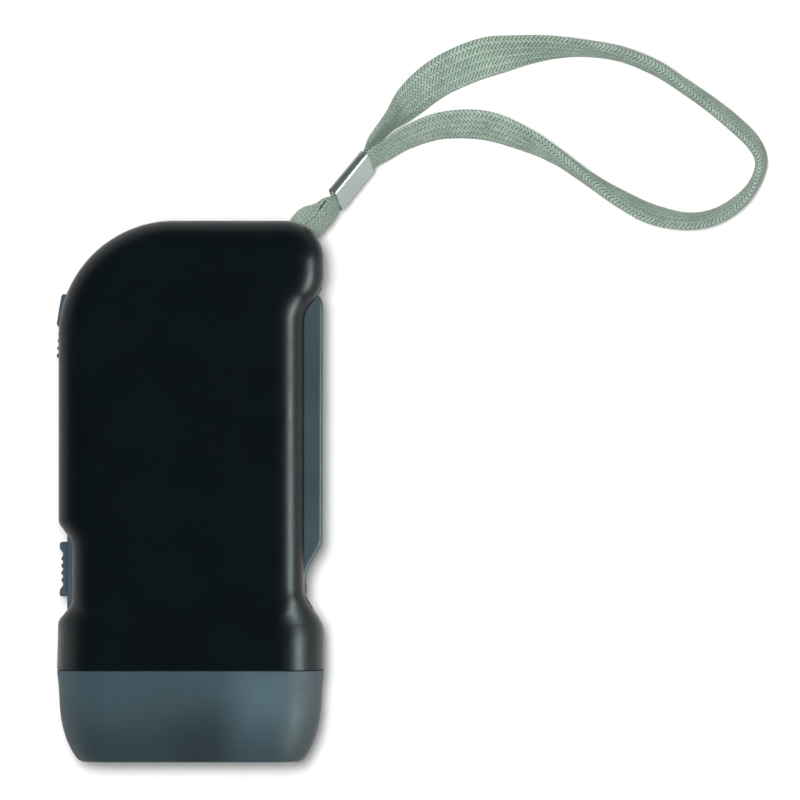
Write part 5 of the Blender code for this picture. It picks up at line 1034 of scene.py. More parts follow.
    def cavity(self, half: Half) -> Thing:
        """The hollow of a shell, less the bosses and walls that it leaves standing.

        Args:
            half: which shell.

        Returns:
            The tool that hollows the shell.
        """
        side, roof = half.value, HALF_DEPTH - WALL + self.past
        hollow = Bench.grid("cavity", self.skin(WALL, side, -self.past, self.cavity_steps, False))
        left = [self.rod(side, place, self.boss_radius, SEAM / 2, roof, 32) for place in SCREWS]
        left.append(self.rod(side, PIVOT, *self.pivot_boss, roof))
        if half is Half.LOWER:
            left += self.lower_seats(roof)
        left += [self.rod(side, place, self.axle_boss, start, roof) for place, start in self.axles(half)]
        left.append(self.prism(side, self.pocket(self.pocket_wall[0]), self.pocket_wall[1]))
        left.append(self.prism(side, self.block(*self.lock_wall[:4]), self.lock_wall[4]))
        return Bench.carve(hollow, left)

    def axles(self, half: Half) -> tuple[tuple[np.ndarray, float], ...]:
        """The axles that a shell carries, and the height where each boss starts."""
        return self.upper_axles if half is Half.UPPER else self.lower_axles

    def shell(self, name: str, half: Half) -> Thing:
        """One shell: its skin, less the cavity, the head's room, the bores, the seats and the slots.

        Args:
            name: the object's name.
            half: which shell.

        Returns:
            The object.
        """
        side, past = half.value, self.past
        x, front, z = self.head_block
        tools = [self.cavity(half), Bench.box((-x, front, -z), (x, JOINT_Y, z))]
        for place in SCREWS:
            if half is Half.LOWER:
                tools.append(self.screw_sink(place))
            radius, end = self.upper_thread if half is Half.UPPER else self.lower_passage
            tools.append(self.rod(side, place, radius, -past, end, 24))
        tools.append(self.rod(side, PIVOT, self.pivot_bore[0], 0, self.pivot_bore[1]))
        radius, depth = self.axle_bore
        for place, start in self.axles(half):
            tools.append(self.rod(side, place, radius, start - past, start + depth, 24))
        if half is Half.LOWER:
            middle, radius = self.cell()
            tools.append(self.rod(side, middle, radius + CLEARANCE, *self.cell_seat))
        left, start, right, end = self.lever_mouth
        mouth = np.array([(left, start), (right, start), (right, end), (left, end)])
        tools.append(self.prism(side, mouth, LEVER_HALF + CLEARANCE))
        tools.append(self.prism(side, self.pocket(0), self.pocket_depth))
        tools.append(self.rod(side, STRAP_PIN, self.pin_bore[0], -past, self.pin_bore[1], 24))
        tools += [self.prism(side, self.block(*slot[:4]), slot[4]) for slot in self.lock_slots]
        left, right = (NOTCH_X + reach for reach in self.switch_slot)
        slot = np.array([(left, SLOT_LOW), (right, SLOT_LOW), (right, SLOT_HIGH), (left, SLOT_HIGH)])
        tools.append(self.prism(side, slot, SLOT_HALF))
        return Bench.carve(Bench.grid(name, self.skin(0, side, SEAM / 2, self.edge_steps, True)), tools)

    def screw_sink(self, place: Sequence[float]) -> Thing:
        """A round sink for a screw's head, a little wider at its mouth.

        Args:
            place: x and y of its axis.

        Returns:
            The tool.
        """
        mouth = -HALF_DEPTH
        radius, wide, depth = self.sink
        return Bench.turned("tool", place, [(radius, mouth + depth), (radius, mouth + self.sink_lip),
                                            (wide, mouth), (wide, mouth - self.past)])

    def pieces(self) -> Iterator[tuple[Thing, str, str, str]]:
        """Both shells and the screws.

        Yields:
            Each piece with its slot, its body and the node that it replaces.
        """
        for half in Half:
            node = f"{half.name.lower()}_shell"
            yield self.shell(f"{node}_skin", half), "black_shell", "housing", node
        for k, place in enumerate(SCREWS, 1):
            yield self.screws.build(f"cross_screw_{k}", place), "steel", "housing", f"shell_screw_{k}"


@dataclass
class HeadUnit(SubAssembly):
    """The smoke grey cup, the clear lens, the plated reflector and the two lamps.

    A station is a share of the cup's length and of its front inset. Rows give a ring's inset
    from the widest section, and its y. The lamp's flange is its radius, its thickness and its
    broken edge.
    """

    front_inset: float = 4.6
    height_share: float = 0.8
    stations: Pairs = (
        (0.0, 0.0), (0.1, 0.04), (0.24, 0.09), (0.44, 0.13), (0.6, 0.225), (0.74, 0.38), (0.86, 0.58),
        (0.94, 0.77), (0.985, 0.92), (1.0, 1.0))
    rear: float = JOINT_Y - 0.15
    rear_rows: Pairs = ((0.2, rear), (0.05, rear - 0.05), (0.0, rear - 0.2))
    skin_margins: tuple[float, float] = (0.25, 0.18)
    rim_rows: Pairs = (
        (4.6, FRONT_Y + 0.12), (4.72, FRONT_Y), (5.58, FRONT_Y), (5.7, FRONT_Y + 0.12), (5.7, -50.7),
        (7.1, -50.7), (7.1, -49.5))
    hollow_ends: tuple[float, float] = (-49.0, rear - 3.4)
    spigot_rows: Pairs = ((3.6, rear - 1.6), (3.6, JOINT_Y + 3.6), (2.1, JOINT_Y + 3.6), (2.1, rear))
    lens_rows: Pairs = ((6.15, -50.85), (5.85, -51.1), (5.85, -52.2), (6.1, -52.42), (9.0, -52.45))
    plate_rows: Pairs = ((7.4, -50.4), (7.4, -49.2))
    arc_steps: int = 14
    side_step: float = 2.5
    bowl_x: float = 9.2
    bowl_mouth: float = 8.6
    bowl_throat: float = 2.75
    bowl_depth: float = 11.5
    bowl_front: float = -50.4
    bowl_wall: float = 0.9
    lamp_reach: float = 5.1
    lamp_flange: tuple[float, float, float] = (2.9, 0.9, 0.1)
    lamp_barrel: float = 2.45

    def section(self) -> np.ndarray:
        """The widest section: straight sides joined by quarter ellipses.

        Returns:
            The x and the height over the middle plane of each point.
        """
        flat_x, flat_z = GRIP_X - EDGE_ROUND, HALF_DEPTH - HEAD_ROUND
        turn = quarter(self.arc_steps)
        wide, tall = np.cos(turn) * (HALF_WIDTH - flat_x), np.sin(turn) * (HALF_DEPTH - flat_z)
        arcs = []
        for k, (a, b) in enumerate(((1, -1), (1, 1), (-1, 1), (-1, -1))):
            way = slice(None, None, 1 if k % 2 else -1)
            arcs.append(np.stack([a * (flat_x + wide[way]), b * (flat_z + tall[way])], 1))
        return finer(np.concatenate(arcs), self.side_step)

    def stretch(self, rows: Sequence[Sequence[float]], whole: bool = False) -> np.ndarray:
        """Rings of the widest section's points, each scaled to its own half sizes outside the flat parts.

        Args:
            rows: the inset and the y of each ring.
            whole: the height is inset as much as the width, and not by its share.

        Returns:
            The grid of rings.
        """
        x, z = self.section().T
        share = 1 if whole else self.height_share
        rings = []
        for inset, y in rows:
            sides = ((x, GRIP_X - EDGE_ROUND, HALF_WIDTH, inset),
                     (z, HALF_DEPTH - HEAD_ROUND, HALF_DEPTH, inset * share))
            xs, zs = (np.sign(c) * (np.minimum(abs(c), flat)
                                    + np.maximum(abs(c) - flat, 0) * (full - flat - cut) / (full - flat))
                      for c, flat, full, cut in sides)
            rings.append(np.column_stack([xs, np.full(len(xs), y), MID_Z + zs]))
        return np.stack(rings)

    def cup(self) -> Thing:
        """The cup as one closed tube of rings: skin, rim, lens seat, hollow and spigot.

        The skin's insets are a smooth line through the stations.

        Returns:
            The object.
        """
        length = self.rear - FRONT_Y
        line = smooth_line(np.array(self.stations), 5)
        after, before = self.skin_margins
        skin = [(b * self.front_inset, self.rear - a * length) for a, b in line
                if after < a * length < length - before]
        hollow = [(max(b * self.front_inset + WALL, WALL), self.rear - a * length) for a, b in line[::-1]
                  if self.hollow_ends[0] < self.rear - a * length < self.hollow_ends[1]]
        rings = [self.stretch(self.rear_rows, True), self.stretch([*skin, *self.rim_rows, *hollow]),
                 self.stretch(self.spigot_rows, True)]
        return Bench.grid("smoke_cup", np.concatenate(rings), ring_closed=True)

    def lens(self) -> Thing:
        """A clear plate with broken edges, a hair proud of its seat and slightly crowned."""
        return Bench.grid("clear_front", self.stretch(self.lens_rows))

    def bowl(self, x: float, wall: float, past: float, steps: int = 24) -> Thing:
        """A dish on a Y axis whose radius squared grows evenly with its depth.

        Args:
            x: the axis.
            wall: added to the radius.
            past: how far it runs on past both ends.
            steps: rings.

        Returns:
            The object.
        """
        back = self.bowl_front + self.bowl_depth
        share = np.linspace(1, 0, steps + 1)
        radius = np.sqrt(self.bowl_throat ** 2 + (self.bowl_mouth ** 2 - self.bowl_throat ** 2) * share)
        rows = list(zip(radius + wall, back - share * self.bowl_depth))
        if past:
            rows = [(rows[0][0], rows[0][1] - past)] + rows + [(rows[-1][0], rows[-1][1] + past)]
        return Bench.turned("dish", (x, 0), rows, 72, along_y=True)

    def reflector(self) -> Thing:
        """The plate with both dishes: joined on, then hollowed.

        Returns:
            The object.
        """
        plate = Bench.grid("twin_reflector", self.stretch(self.plate_rows))
        Bench.carve(plate, [self.bowl(s * self.bowl_x, self.bowl_wall, 0) for s in (-1, 1)], Join.ADD)
        return Bench.carve(plate, [self.bowl(s * self.bowl_x, 0.0, 1.0) for s in (-1, 1)])

    def lamp(self, name: str, x: float) -> Thing:
        """A round lamp on a Y axis: flange, barrel and a half round dome.

        Args:
            name: the object's name.
            x: its axis.

        Returns:
            The object.
        """
        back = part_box("lamp_left")[1][1] / MM
        top = back - self.lamp_reach
        (wide, thick, edge), radius = self.lamp_flange, self.lamp_barrel
        profile = [(0.0, back), (wide, back), (wide, back - (thick - edge)), (wide - edge, back - thick),
                   (radius, back - thick)]
        profile += [(radius * math.cos(t), top - radius * math.sin(t)) for t in quarter(10)]
        return Bench.turned(name, (x, 0), profile, 40, along_y=True)

    def pieces(self) -> Iterator[tuple[Thing, str, str, str]]:
        """The cup, the lens, the reflector and the lamps.

        Yields:
            Each piece with its slot, its body and the node that it replaces.
        """
        yield self.cup(), "smoke_head", "housing", "head_cup"
        yield self.lens(), "clear_lens", "housing", "front_lens"
        yield self.reflector(), "chrome", "housing", "reflector"
        for side, node in ((-1, "lamp_left"), (1, "lamp_right")):
            yield self.lamp(f"{node}_dome", side * self.bowl_x), "lamp_clear", "housing", node


@dataclass
class PressLever(SubAssembly):
    """The hand lever: a channel open to the inside, with a hub at its heel.

    The hub's bore is a radius and a reach to each side, the pins' bore a radius and the gap past
    a pin's end, and a pin's end is pairs of a radius and a distance from the end.
    """

    edge: float = 1.0
    edge_steps: int = 7
    corners: tuple[Corner, ...] = (
        (22.55, -22.65, 3.15), (22.55, -15.6, 7.0), (25.7, -10.1, 3.4), (25.85, 39.3, 3.4),
        (18.6, 39.3, 0.8), (18.6, -10.1, 3.4), (16.25, -15.6, 3.4), (16.25, -22.65, 3.15))
    channel: tuple[Corner, ...] = (
        (14.45, -23.65, 0.8), (23.55, -23.65, 0.8), (23.55, -19.5, 0.8), (20.55, -15.6, 3.15),
        (23.85, -8.1, 3.15), (23.85, 37.75, 2.0), (14.45, 37.75, 0.8))
    channel_half: float = 6.1
    hub_bore: tuple[float, float] = (1.65, 9.0)
    pin_half: float = 7.3
    pin_end: Pairs = ((0.9, 0.0), (1.1, 0.2))
    pin_bore: tuple[float, float] = (1.16, 0.05)

    def plan(self, depth: float) -> np.ndarray:
        """The lever's outline at a depth inside its skin."""
        return rounded_outline(inset_corners(self.corners, depth), 5.0)

    def pieces(self) -> Iterator[tuple[Thing, str, str, str]]:
        """The sector's pins, and the lever: its plan carried up Z with rounded edges, less the channel.

        Yields:
            Each piece with its slot, its body and the node that it replaces.
        """
        levels = [(LEVER_HALF - self.edge * (1 - math.sin(t)), self.edge * (1 - math.cos(t)))
                  for t in quarter(self.edge_steps)]
        stack = [(-z, depth) for z, depth in levels[::-1]] + levels
        lever = Bench.grid("hand_lever", np.stack([at_height(self.plan(depth), z) for z, depth in stack]))
        channel = rounded_outline(self.channel, 6.0)
        radius, reach = self.hub_bore
        tools = [Bench.prism("tool", channel, -self.channel_half, self.channel_half),
                 Bench.rod(PIVOT, radius, -reach, reach)]
        radius, gap = self.pin_bore
        for node in ("sector_pin_1", "sector_pin_2"):
            low, high = (np.array(corner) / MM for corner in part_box(node))
            place = (low + high)[:2] / 2
            tools.append(Bench.rod(place, radius, -self.pin_half - gap, self.pin_half + gap, 32))
            profile = [(r, c - self.pin_half) for r, c in self.pin_end]
            profile += [(r, self.pin_half - c) for r, c in self.pin_end[::-1]]
            yield Bench.turned(f"cheek_{node}", place, profile, 32), "steel", "lever", node
        yield Bench.carve(lever, tools), "grey_lever", "lever", "press_lever"


@dataclass
class Sliders(SubAssembly):
    """The lock slider in the tail's sweep, and the switch slider on its plate in the notch.

    Profiles are pairs of a distance along the slider and one out from the housing's side. The
    lock's pitch is the place of its first rib and the step to the next. A stem is its half
    length, its half width and its inner end.
    """

    round_edge: float = 0.22
    profile_step: float = 0.12
    stem_overlap: float = 0.1
    ribs: int = 4
    lock_half: float = 6.55
    lock_low: float = 0.165
    lock_climb: float = 0.66
    lock_pitch: tuple[float, float] = (-5.89, 1.43)
    lock_rib: Pairs = ((-0.1, 0.0), (0.15, 0.42), (0.7, 0.42), (0.95, 0.0))
    lock_ridge: Pairs = ((-0.17, 0.66), (0.58, 1.34), (3.275, 1.26), (6.1, 1.1), (6.5, 0.85), (6.55, 0.4))
    lock_base: float = -1.2
    lock_width: float = 4.0
    lock_stem: tuple[float, float, float] = (1.7, 2.0, -3.1)
    switch_end: Pairs = ((-5.3, 1.15), (-5.15, 1.44), (-4.85, 1.52), (-3.95, 1.48), (-3.2, 0.85))
    switch_pitch: float = 1.38
    switch_rib: Pairs = ((-0.52, 0.85), (-0.2, 1.2), (0.2, 1.2), (0.52, 0.85))
    switch_base: float = 0.06
    switch_width: float = 3.5
    switch_stem: tuple[float, float, float] = (1.8, 1.5, -3.16)
    plate_inner: float = -21.9
    plate_half: float = 5.0

    def ribbed(self, name: str, middle: np.ndarray, way: np.ndarray, top: list, base: float, half: float,
               stem: Sequence[float]) -> Thing:
        """A ribbed slider: its profile carried across Z with rounded edges, joined to its stem.

        Args:
            name: the object's name.
            middle: the middle of its length on the housing's side.
            way: the way that it slides.
            top: its upper profile from its low end.
            base: its lower face, out from the side.
            half: half its width.
            stem: its stem.

        Returns:
            The object.
        """
        end = top[-1][0]
        profile = finer(np.array([(end, base), *top[::-1], (-end, base)]), self.profile_step)
        for _ in range(2):
            profile = (np.roll(profile, 1, 0) + 2 * profile + np.roll(profile, -1, 0)) / 4
        plan = local_points(middle, way, profile)
        area = np.cross(plan, np.roll(plan, -1, 0)).sum()
        plan = plan if area > 0 else plan[::-1]
        slider = Bench.prism(name, plan, -half, half, self.round_edge, 4)
        length, width, inside = stem
        top_end = base + self.stem_overlap
        foot = local_points(middle, way, [(-length, inside), (length, inside), (length, top_end),
                                          (-length, top_end)])
        return Bench.carve(slider, [Bench.prism("tool", foot, -width, width)], Join.ADD)

    def lock_top(self) -> list:
        """The lock slider's profile: ribs on a slope that rises to a thumb ridge.

        Returns:
            The pairs from its low end.
        """
        first, pitch = self.lock_pitch
        top = [(-self.lock_half, self.lock_low)]
        for k in range(self.ribs):
            s = first + k * pitch
            rise = self.lock_climb * (s + self.lock_half) / (2 * self.lock_half) + self.lock_low
            top += [(s + along, rise + out) for along, out in self.lock_rib]
        return [*top, *self.lock_ridge]

    def switch_top(self) -> list:
        """The switch slider's profile: a block at each end and ribs between.

        Returns:
            The pairs from one end to the other.
        """
        places = [(k - (self.ribs - 1) / 2) * self.switch_pitch for k in range(self.ribs)]
        middle = [(s + along, out) for s in places for along, out in self.switch_rib]
        return [*self.switch_end, *middle, *((-s, h) for s, h in self.switch_end[::-1])]

    def plate(self) -> Thing:
        """The grey plate in the foot of the notch: a block less the housing's outline and the slot.

        Returns:
            The object.
        """
        outer, inner, half = SWITCH_X, self.plate_inner, self.plate_half
        plan = rounded_outline([(outer, NOTCH_LOW, 0.1), (inner, NOTCH_LOW, 0.1), (inner, NOTCH_HIGH, 0.1),
                                (outer, NOTCH_HIGH, 0.1)], 30.0)
        seat = rounded_outline(inset_corners(BODY_CORNERS, -0.06), 3.0)
        slot = Bench.box((outer - 1, SLOT_LOW, -SLOT_HALF), (inner, SLOT_HIGH, SLOT_HALF))
        return Bench.carve(Bench.prism("notch_plate", plan, -half, half),
                           [Bench.prism("tool", seat, -half - 1, half + 1), slot])

    def pieces(self) -> Iterator[tuple[Thing, str, str, str]]:
        """Both sliders and the plate.

        Yields:
            Each piece with its slot, its body and the node that it replaces.
        """
        lock = self.ribbed("lock_thumb", LOCK_MIDDLE, LOCK_WAY, self.lock_top(), self.lock_base,
                           self.lock_width, self.lock_stem)
        yield lock, "grey_slider", "lock", "lock_slider"
        switch = self.ribbed("switch_thumb", SWITCH_MIDDLE, SWITCH_WAY, self.switch_top(), self.switch_base,
                             self.switch_width, self.switch_stem)
        yield switch, "grey_slider", "switch", "switch_slider"
        yield self.plate(), "grey_slider", "housing", "switch_plate"


@dataclass
class WristStrap(SubAssembly):
    """The flat braided strap and the crimp that holds its ends.

    The route gives x, y, lift of the lower edge over the table, lean of the width in degrees,
    width and thickness. It starts in the crimp, rounds the strap pin, comes back through the
    crimp, makes the wrist loop and ends in the crimp. The crimp's edge is pairs of a distance
    back from its end and an inset, up to the middle of its wall.
    """

    route: tuple[tuple[float, ...], ...] = (
        (31.39, 60.18, 7.96, 116, 6.6, 0.6), (28.43, 56.58, 9.27, 116, 6.6, 0.6),
        (27.0, 54.5, 9.75, 115, 7.3, 1.0), (25.3, 52.3, 10.45, 113, 7.6, 1.2),
        (22.9, 49.6, 11.2, 112, 7.6, 1.1), (21.4, 47.0, 11.65, 98, 7.5, 1.0),
        (20.96, 45.1, 11.75, 90, 7.5, 1.0), (20.2, 44.4, 11.75, 90, 7.5, 1.0),
        (18.5, 44.84, 11.75, 90, 7.5, 1.0), (17.9, 46.2, 11.75, 90, 7.5, 1.0),
        (18.24, 47.3, 11.75, 91, 7.5, 1.0), (18.9, 49.6, 11.6, 108, 7.5, 1.0),
        (20.3, 51.85, 11.25, 108, 7.6, 1.1), (22.9, 54.4, 10.5, 112, 7.6, 1.2),
        (25.45, 56.2, 9.7, 83, 7.3, 1.0), (27.58, 56.58, 9.15, 64, 6.6, 0.6),
        (31.08, 60.83, 7.59, 64, 6.6, 0.6), (34.53, 65.01, 6.06, 64, 6.6, 0.6),
        (36.0, 68.7, 4.2, 72, 7.4, 1.2), (38.9, 72.5, 2.6, 66, 7.9, 1.4), (42.6, 76.3, 1.6, 38, 8.0, 1.4),
        (48.5, 81.0, 0.9, 20, 8.0, 1.5), (56.2, 84.5, 0.3, 6, 8.0, 1.5), (63.2, 86.0, 0.1, 36, 8.0, 1.6),
        (70.3, 86.8, 0.1, 57, 8.0, 1.9), (77.4, 86.6, 0.1, 72, 7.8, 2.3), (84.4, 85.4, 0.1, 80, 7.6, 2.6),
        (91.0, 82.7, 0.1, 85, 7.5, 2.9), (96.5, 79.2, 0.1, 97, 7.5, 2.8), (101.7, 75.6, 0.1, 106, 7.6, 2.4),
        (106.6, 71.6, 0.1, 110, 7.7, 2.2), (110.1, 68.0, 0.1, 107, 7.7, 2.2),
        (111.5, 64.5, 0.1, 99, 7.6, 2.2), (110.4, 60.6, 0.1, 91, 7.5, 2.2),
        (107.3, 56.7, 0.1, 79, 7.6, 2.3), (102.5, 53.7, 0.1, 73, 7.7, 2.3), (96.9, 52.8, 0.1, 68, 7.8, 2.2),
        (90.0, 54.2, 0.1, 62, 7.8, 2.2), (83.6, 57.4, 0.1, 69, 7.7, 2.4), (77.6, 61.2, 0.1, 88, 7.5, 2.8),
        (71.7, 65.3, 0.1, 106, 7.7, 2.3), (65.5, 68.7, 0.1, 123, 7.9, 1.8), (57.5, 71.5, 0.1, 135, 8.0, 1.6),
        (49.0, 71.5, 0.2, 131, 8.0, 1.5), (42.2, 69.2, 1.3, 123, 7.8, 1.3),
        (37.9, 66.6, 3.75, 117, 7.2, 0.9), (34.99, 64.55, 6.36, 116, 6.6, 0.6),
        (31.77, 60.64, 7.79, 116, 6.6, 0.6))
    crimp_middle: tuple[float, float, float] = (31.33, 60.615, 10.7)
    crimp_way: tuple[float, float, float] = (6.3, 7.65, -2.8)
    crimp_lean: float = 64.0
    crimp_half: tuple[float, float, float] = (3.8, 0.975, 5.15)
    crimp_round: float = 0.9
    crimp_wall: float = 0.25
    crimp_edge: Pairs = ((0.1, 0.0), (0.03, 0.03), (0.0, 0.125))
    columns: int = 10
    stitch: float = 0.78
    relief: float = 0.26
    cell_steps: int = 4
    ridge_share: float = 0.2
    edge_pinch: float = 0.03
    flatness: tuple[float, float] = (2.8, 0.6)

    def stations(self) -> tuple[np.ndarray, ...]:
        """Even stations along the route.

        Returns:
            The middle line, its ways, the ways across the width, half widths, half thicknesses
            and the distance along.
        """
        line = smooth_line(np.array(self.route), 24)
        lean = np.radians(line[:, 3])
        half_width, half_thick = line[:, 4] / 2, line[:, 5] / 2
        line[:, 2] += np.sqrt((half_width * np.sin(lean)) ** 2 + (half_thick * np.cos(lean)) ** 2)
        run = np.concatenate([[0], np.cumsum(np.linalg.norm(np.diff(line[:, :3], axis=0), axis=1))])
        along = np.arange(int(run[-1] / self.stitch * self.cell_steps) + 1) * self.stitch / self.cell_steps
        along *= run[-1] / along[-1]
        line = np.stack([np.interp(along, run, column) for column in line.T], 1)
        places, lean = line[:, :3], np.radians(line[:, 3])
        ways = np.gradient(places, axis=0)
        ways /= np.linalg.norm(ways, axis=1)[:, None]
        flat = np.stack([-ways[:, 1], ways[:, 0], 0 * lean], 1)
        flat /= np.linalg.norm(flat, axis=1)[:, None]
        across = flat * np.cos(lean)[:, None] + np.array([0, 0, 1]) * np.sin(lean)[:, None]
        across -= ways * (across * ways).sum(1)[:, None]
        across /= np.linalg.norm(across, axis=1)[:, None]
        return places, ways, across, line[:, 4] / 2, line[:, 5] / 2, along

    def braid(self, step: np.ndarray, place: np.ndarray) -> np.ndarray:
        """Relief of the braid, from 0 in its creases to 1 on its stitches.

        The stitches of a column slant one way and those of the next column the other way, so
        that the creases between them run across the strap in a zigzag: the relief is the root of
        the sine of the distance along in stitches, moved on by the place across the column.

        Args:
            step: the ring's number, as a column.
            place: the place across the strap, in quarter columns, as a row.

        Returns:
            The relief at each pair.
        """
        quarters = self.cell_steps
        column, inside = place // quarters, place % quarters
        slant = np.where(column % 2 == 0, 1, -1)
        phase = (step + slant * (inside - quarters // 2) + column // 2 * 2) % quarters / quarters
        ridge = np.sin(math.pi * inside / quarters)
        return np.sqrt(np.sin(math.pi * phase)) * (1 - self.ridge_share + self.ridge_share * ridge)

    def ribbon(self, name: str) -> Thing:
        """The strap: a flattened oval section carried along the route, with the braid's relief.

        The section's points stand at even quarters of a column across both faces. With s the share
        of the half width, the width runs as 0.97 s + 0.03 s s s, and the thickness as 1 less the
        power 2.8 of s, raised to 0.6. The relief sinks in less towards both edges.

        Args:
            name: the object's name.

        Returns:
            The object, with a map of distance along, in stitches, and place across, in columns.
        """
        places, ways, across, half_width, half_thick, along = self.stations()
        half = self.columns * self.cell_steps
        place = np.concatenate([np.arange(half), np.arange(half, 0, -1)])
        share = np.clip(1 - 2 * place / half, -1, 1)
        near = np.abs(share)
        side = np.where(np.arange(2 * half) < half, 1.0, -1.0)
        u = share * (1 - self.edge_pinch) + self.edge_pinch * share ** 3
        v = side * (1 - near ** self.flatness[0]) ** self.flatness[1]
        relief = self.braid(np.arange(len(along))[:, None], place[None, :])
        sink = self.relief * (1 - relief) * np.minimum(1.0, 4 * (1 - near) + 0.35)
        held = np.minimum(sink, half_thick[:, None] * 0.5) * (near < 0.999)
        wide = u * (half_width[:, None] - sink * (near > 0.9))
        thick = v * half_thick[:, None] - side * held
        normal = np.cross(ways, across)
        rings = places[:, None] + across[:, None] * wide[..., None] + normal[:, None] * thick[..., None]
        ribbon = Bench.grid(name, rings)
        mesh = ribbon.data
        crease = mesh.attributes.new("relief", "FLOAT", "POINT")
        crease.data.foreach_set("value", relief.reshape(-1).astype(np.float32))
        layer = mesh.uv_layers.new(name="weave")
        corner = np.empty(len(mesh.loops), np.int32)
        mesh.loops.foreach_get("vertex_index", corner)
        ring, point = corner // len(place), corner % len(place)
        mapped = np.stack([ring / self.cell_steps, place[point] / self.cell_steps], 1)
        layer.data.foreach_set("uv", mapped.astype(np.float32).reshape(-1))
        return ribbon

    def material(self) -> bpy.types.Material:
        """Braided yarn: pale grey green, with painted shade in the creases, and filaments along each
        stitch, the paler ones partly a painted highlight.

        Returns:
            The material.
        """
        wires = Wiring("strap_braid")
        relief = wires.add("ShaderNodeAttribute", attribute_name="relief", out="Fac")
        along, place, _ = wires.parts(wires.add("ShaderNodeUVMap", uv_map="weave"))
        odd = wires.maths("FLOORED_MODULO", wires.maths("FLOOR", place), 2.0)
        slant = wires.maths("SUBTRACT", wires.maths("MULTIPLY", odd, 2.0), 1.0)
        skew = wires.maths("MULTIPLY", slant, wires.maths("SUBTRACT", wires.maths("FRACT", place), 0.5))
        lanes = wires.add("ShaderNodeCombineXYZ", {0: wires.maths("SUBTRACT", along, skew), 1: place})
        lanes = wires.add("ShaderNodeMapping", {"Vector": lanes, "Scale": (7.0, 0.8, 1.0)})
        strands = wires.add("ShaderNodeTexNoise", {"Vector": lanes, "Scale": 1.0, "Detail": 3.0,
                                                   "Roughness": 0.6})
        tone = wires.blend(wires.spread(wires.noise(4.0, 4.0), 0.3, 0.7), (0.35, 0.48, 0.395, 1),
                           (0.53, 0.68, 0.565, 1))
        # paler filaments: the yarn's own tone, and in part a painted highlight on the stitches
        tone = wires.blend(wires.spread(strands, 0.5, 0.75), tone, (0.86, 0.95, 0.8, 1))
        tone = wires.blend(wires.spread(strands, 0.48, 0.3, 0.0, 0.85), tone, (0.12, 0.19, 0.16, 1))
        # painted shade: the creases of the braid's relief are painted near black
        tone = wires.blend(wires.spread(relief, 0.05, 0.85, 0.95, 0.0), tone, (0.05, 0.09, 0.072, 1))
        fuzz = wires.bump(wires.noise(0.12, 2.0), 0.02)
        wires.shade(Base_Color=tone, Roughness=wires.spread(strands, 0.3, 0.7, 0.9, 0.68),
                    Normal=wires.bump(strands, 0.06, fuzz), Sheen_Weight=0.12, Sheen_Roughness=0.5,
                    Specular_IOR_Level=0.35)
        wires.material.diffuse_color = (0.42, 0.5, 0.42, 1.0)
        return wires.material

    def crimp(self) -> Thing:
        """The crimp: a rounded flat tube, its ends rolled, as one closed tube of rings.

        Returns:
            The object.
        """
        way = np.array(self.crimp_way) / np.linalg.norm(self.crimp_way)
        level = np.array([-way[1], way[0], 0]) / np.hypot(way[0], way[1])
        lean = math.radians(self.crimp_lean)
        wide = level * math.cos(lean) + np.array([0, 0, 1]) * math.sin(lean)
        wide -= way * (wide @ way)
        wide /= np.linalg.norm(wide)
        thin = np.cross(way, wide)
        half_a, half_b, half_length = self.crimp_half
        outer = [(inset, half_length - back) for back, inset in self.crimp_edge]
        inner = [(self.crimp_wall - inset, run) for inset, run in outer[1::-1]]
        rows = [(inset, -run) for inset, run in outer[1::-1]] + outer + inner
        rows += [(inset, -run) for inset, run in inner[::-1]] + [(outer[2][0], -outer[2][1])]
        rings = []
        for inset, run in rows:
            a, b, r = half_a - inset, half_b - inset, self.crimp_round - inset
            plan = rounded_outline([(a, -b, r), (a, b, r), (-a, b, r), (-a, -b, r)], 6.0)
            rings.append(np.array(self.crimp_middle) + way * run + plan[:, :1] * wide + plan[:, 1:] * thin)
        return Bench.grid("rolled_crimp", np.stack(rings), ring_closed=True)

    def build(self, dresser: Dresser) -> set[str]:
        """Args:
            dresser: gives the finishes.

        Returns:
            The nodes that are replaced.
        """
        ribbon = self.ribbon("braided_strap")
        dresser.made["strap_braid"] = self.material()
        dresser.fit(ribbon, "strap_braid", "housing", "wrist_strap", sharp=180.0)
        crimp = self.crimp()
        dresser.fit(crimp, "crimp_steel", "housing", "strap_crimp", sharp=50.0)
        places = self.stations()[0][::8] * MM
        tuple(float(c) for c in places[0])
        [tuple(map(float, p)) for p in places]
        return {"wrist_strap", "strap_crimp"}


@dataclass(frozen=True)
class Lamp:
    """A soft box: its place, what it faces, its size, power and colour, and whether it only adds gloss."""

    place: Corner
    target: Corner
    size: tuple[float, float]
    power: float
    colour: Corner
    gloss: bool


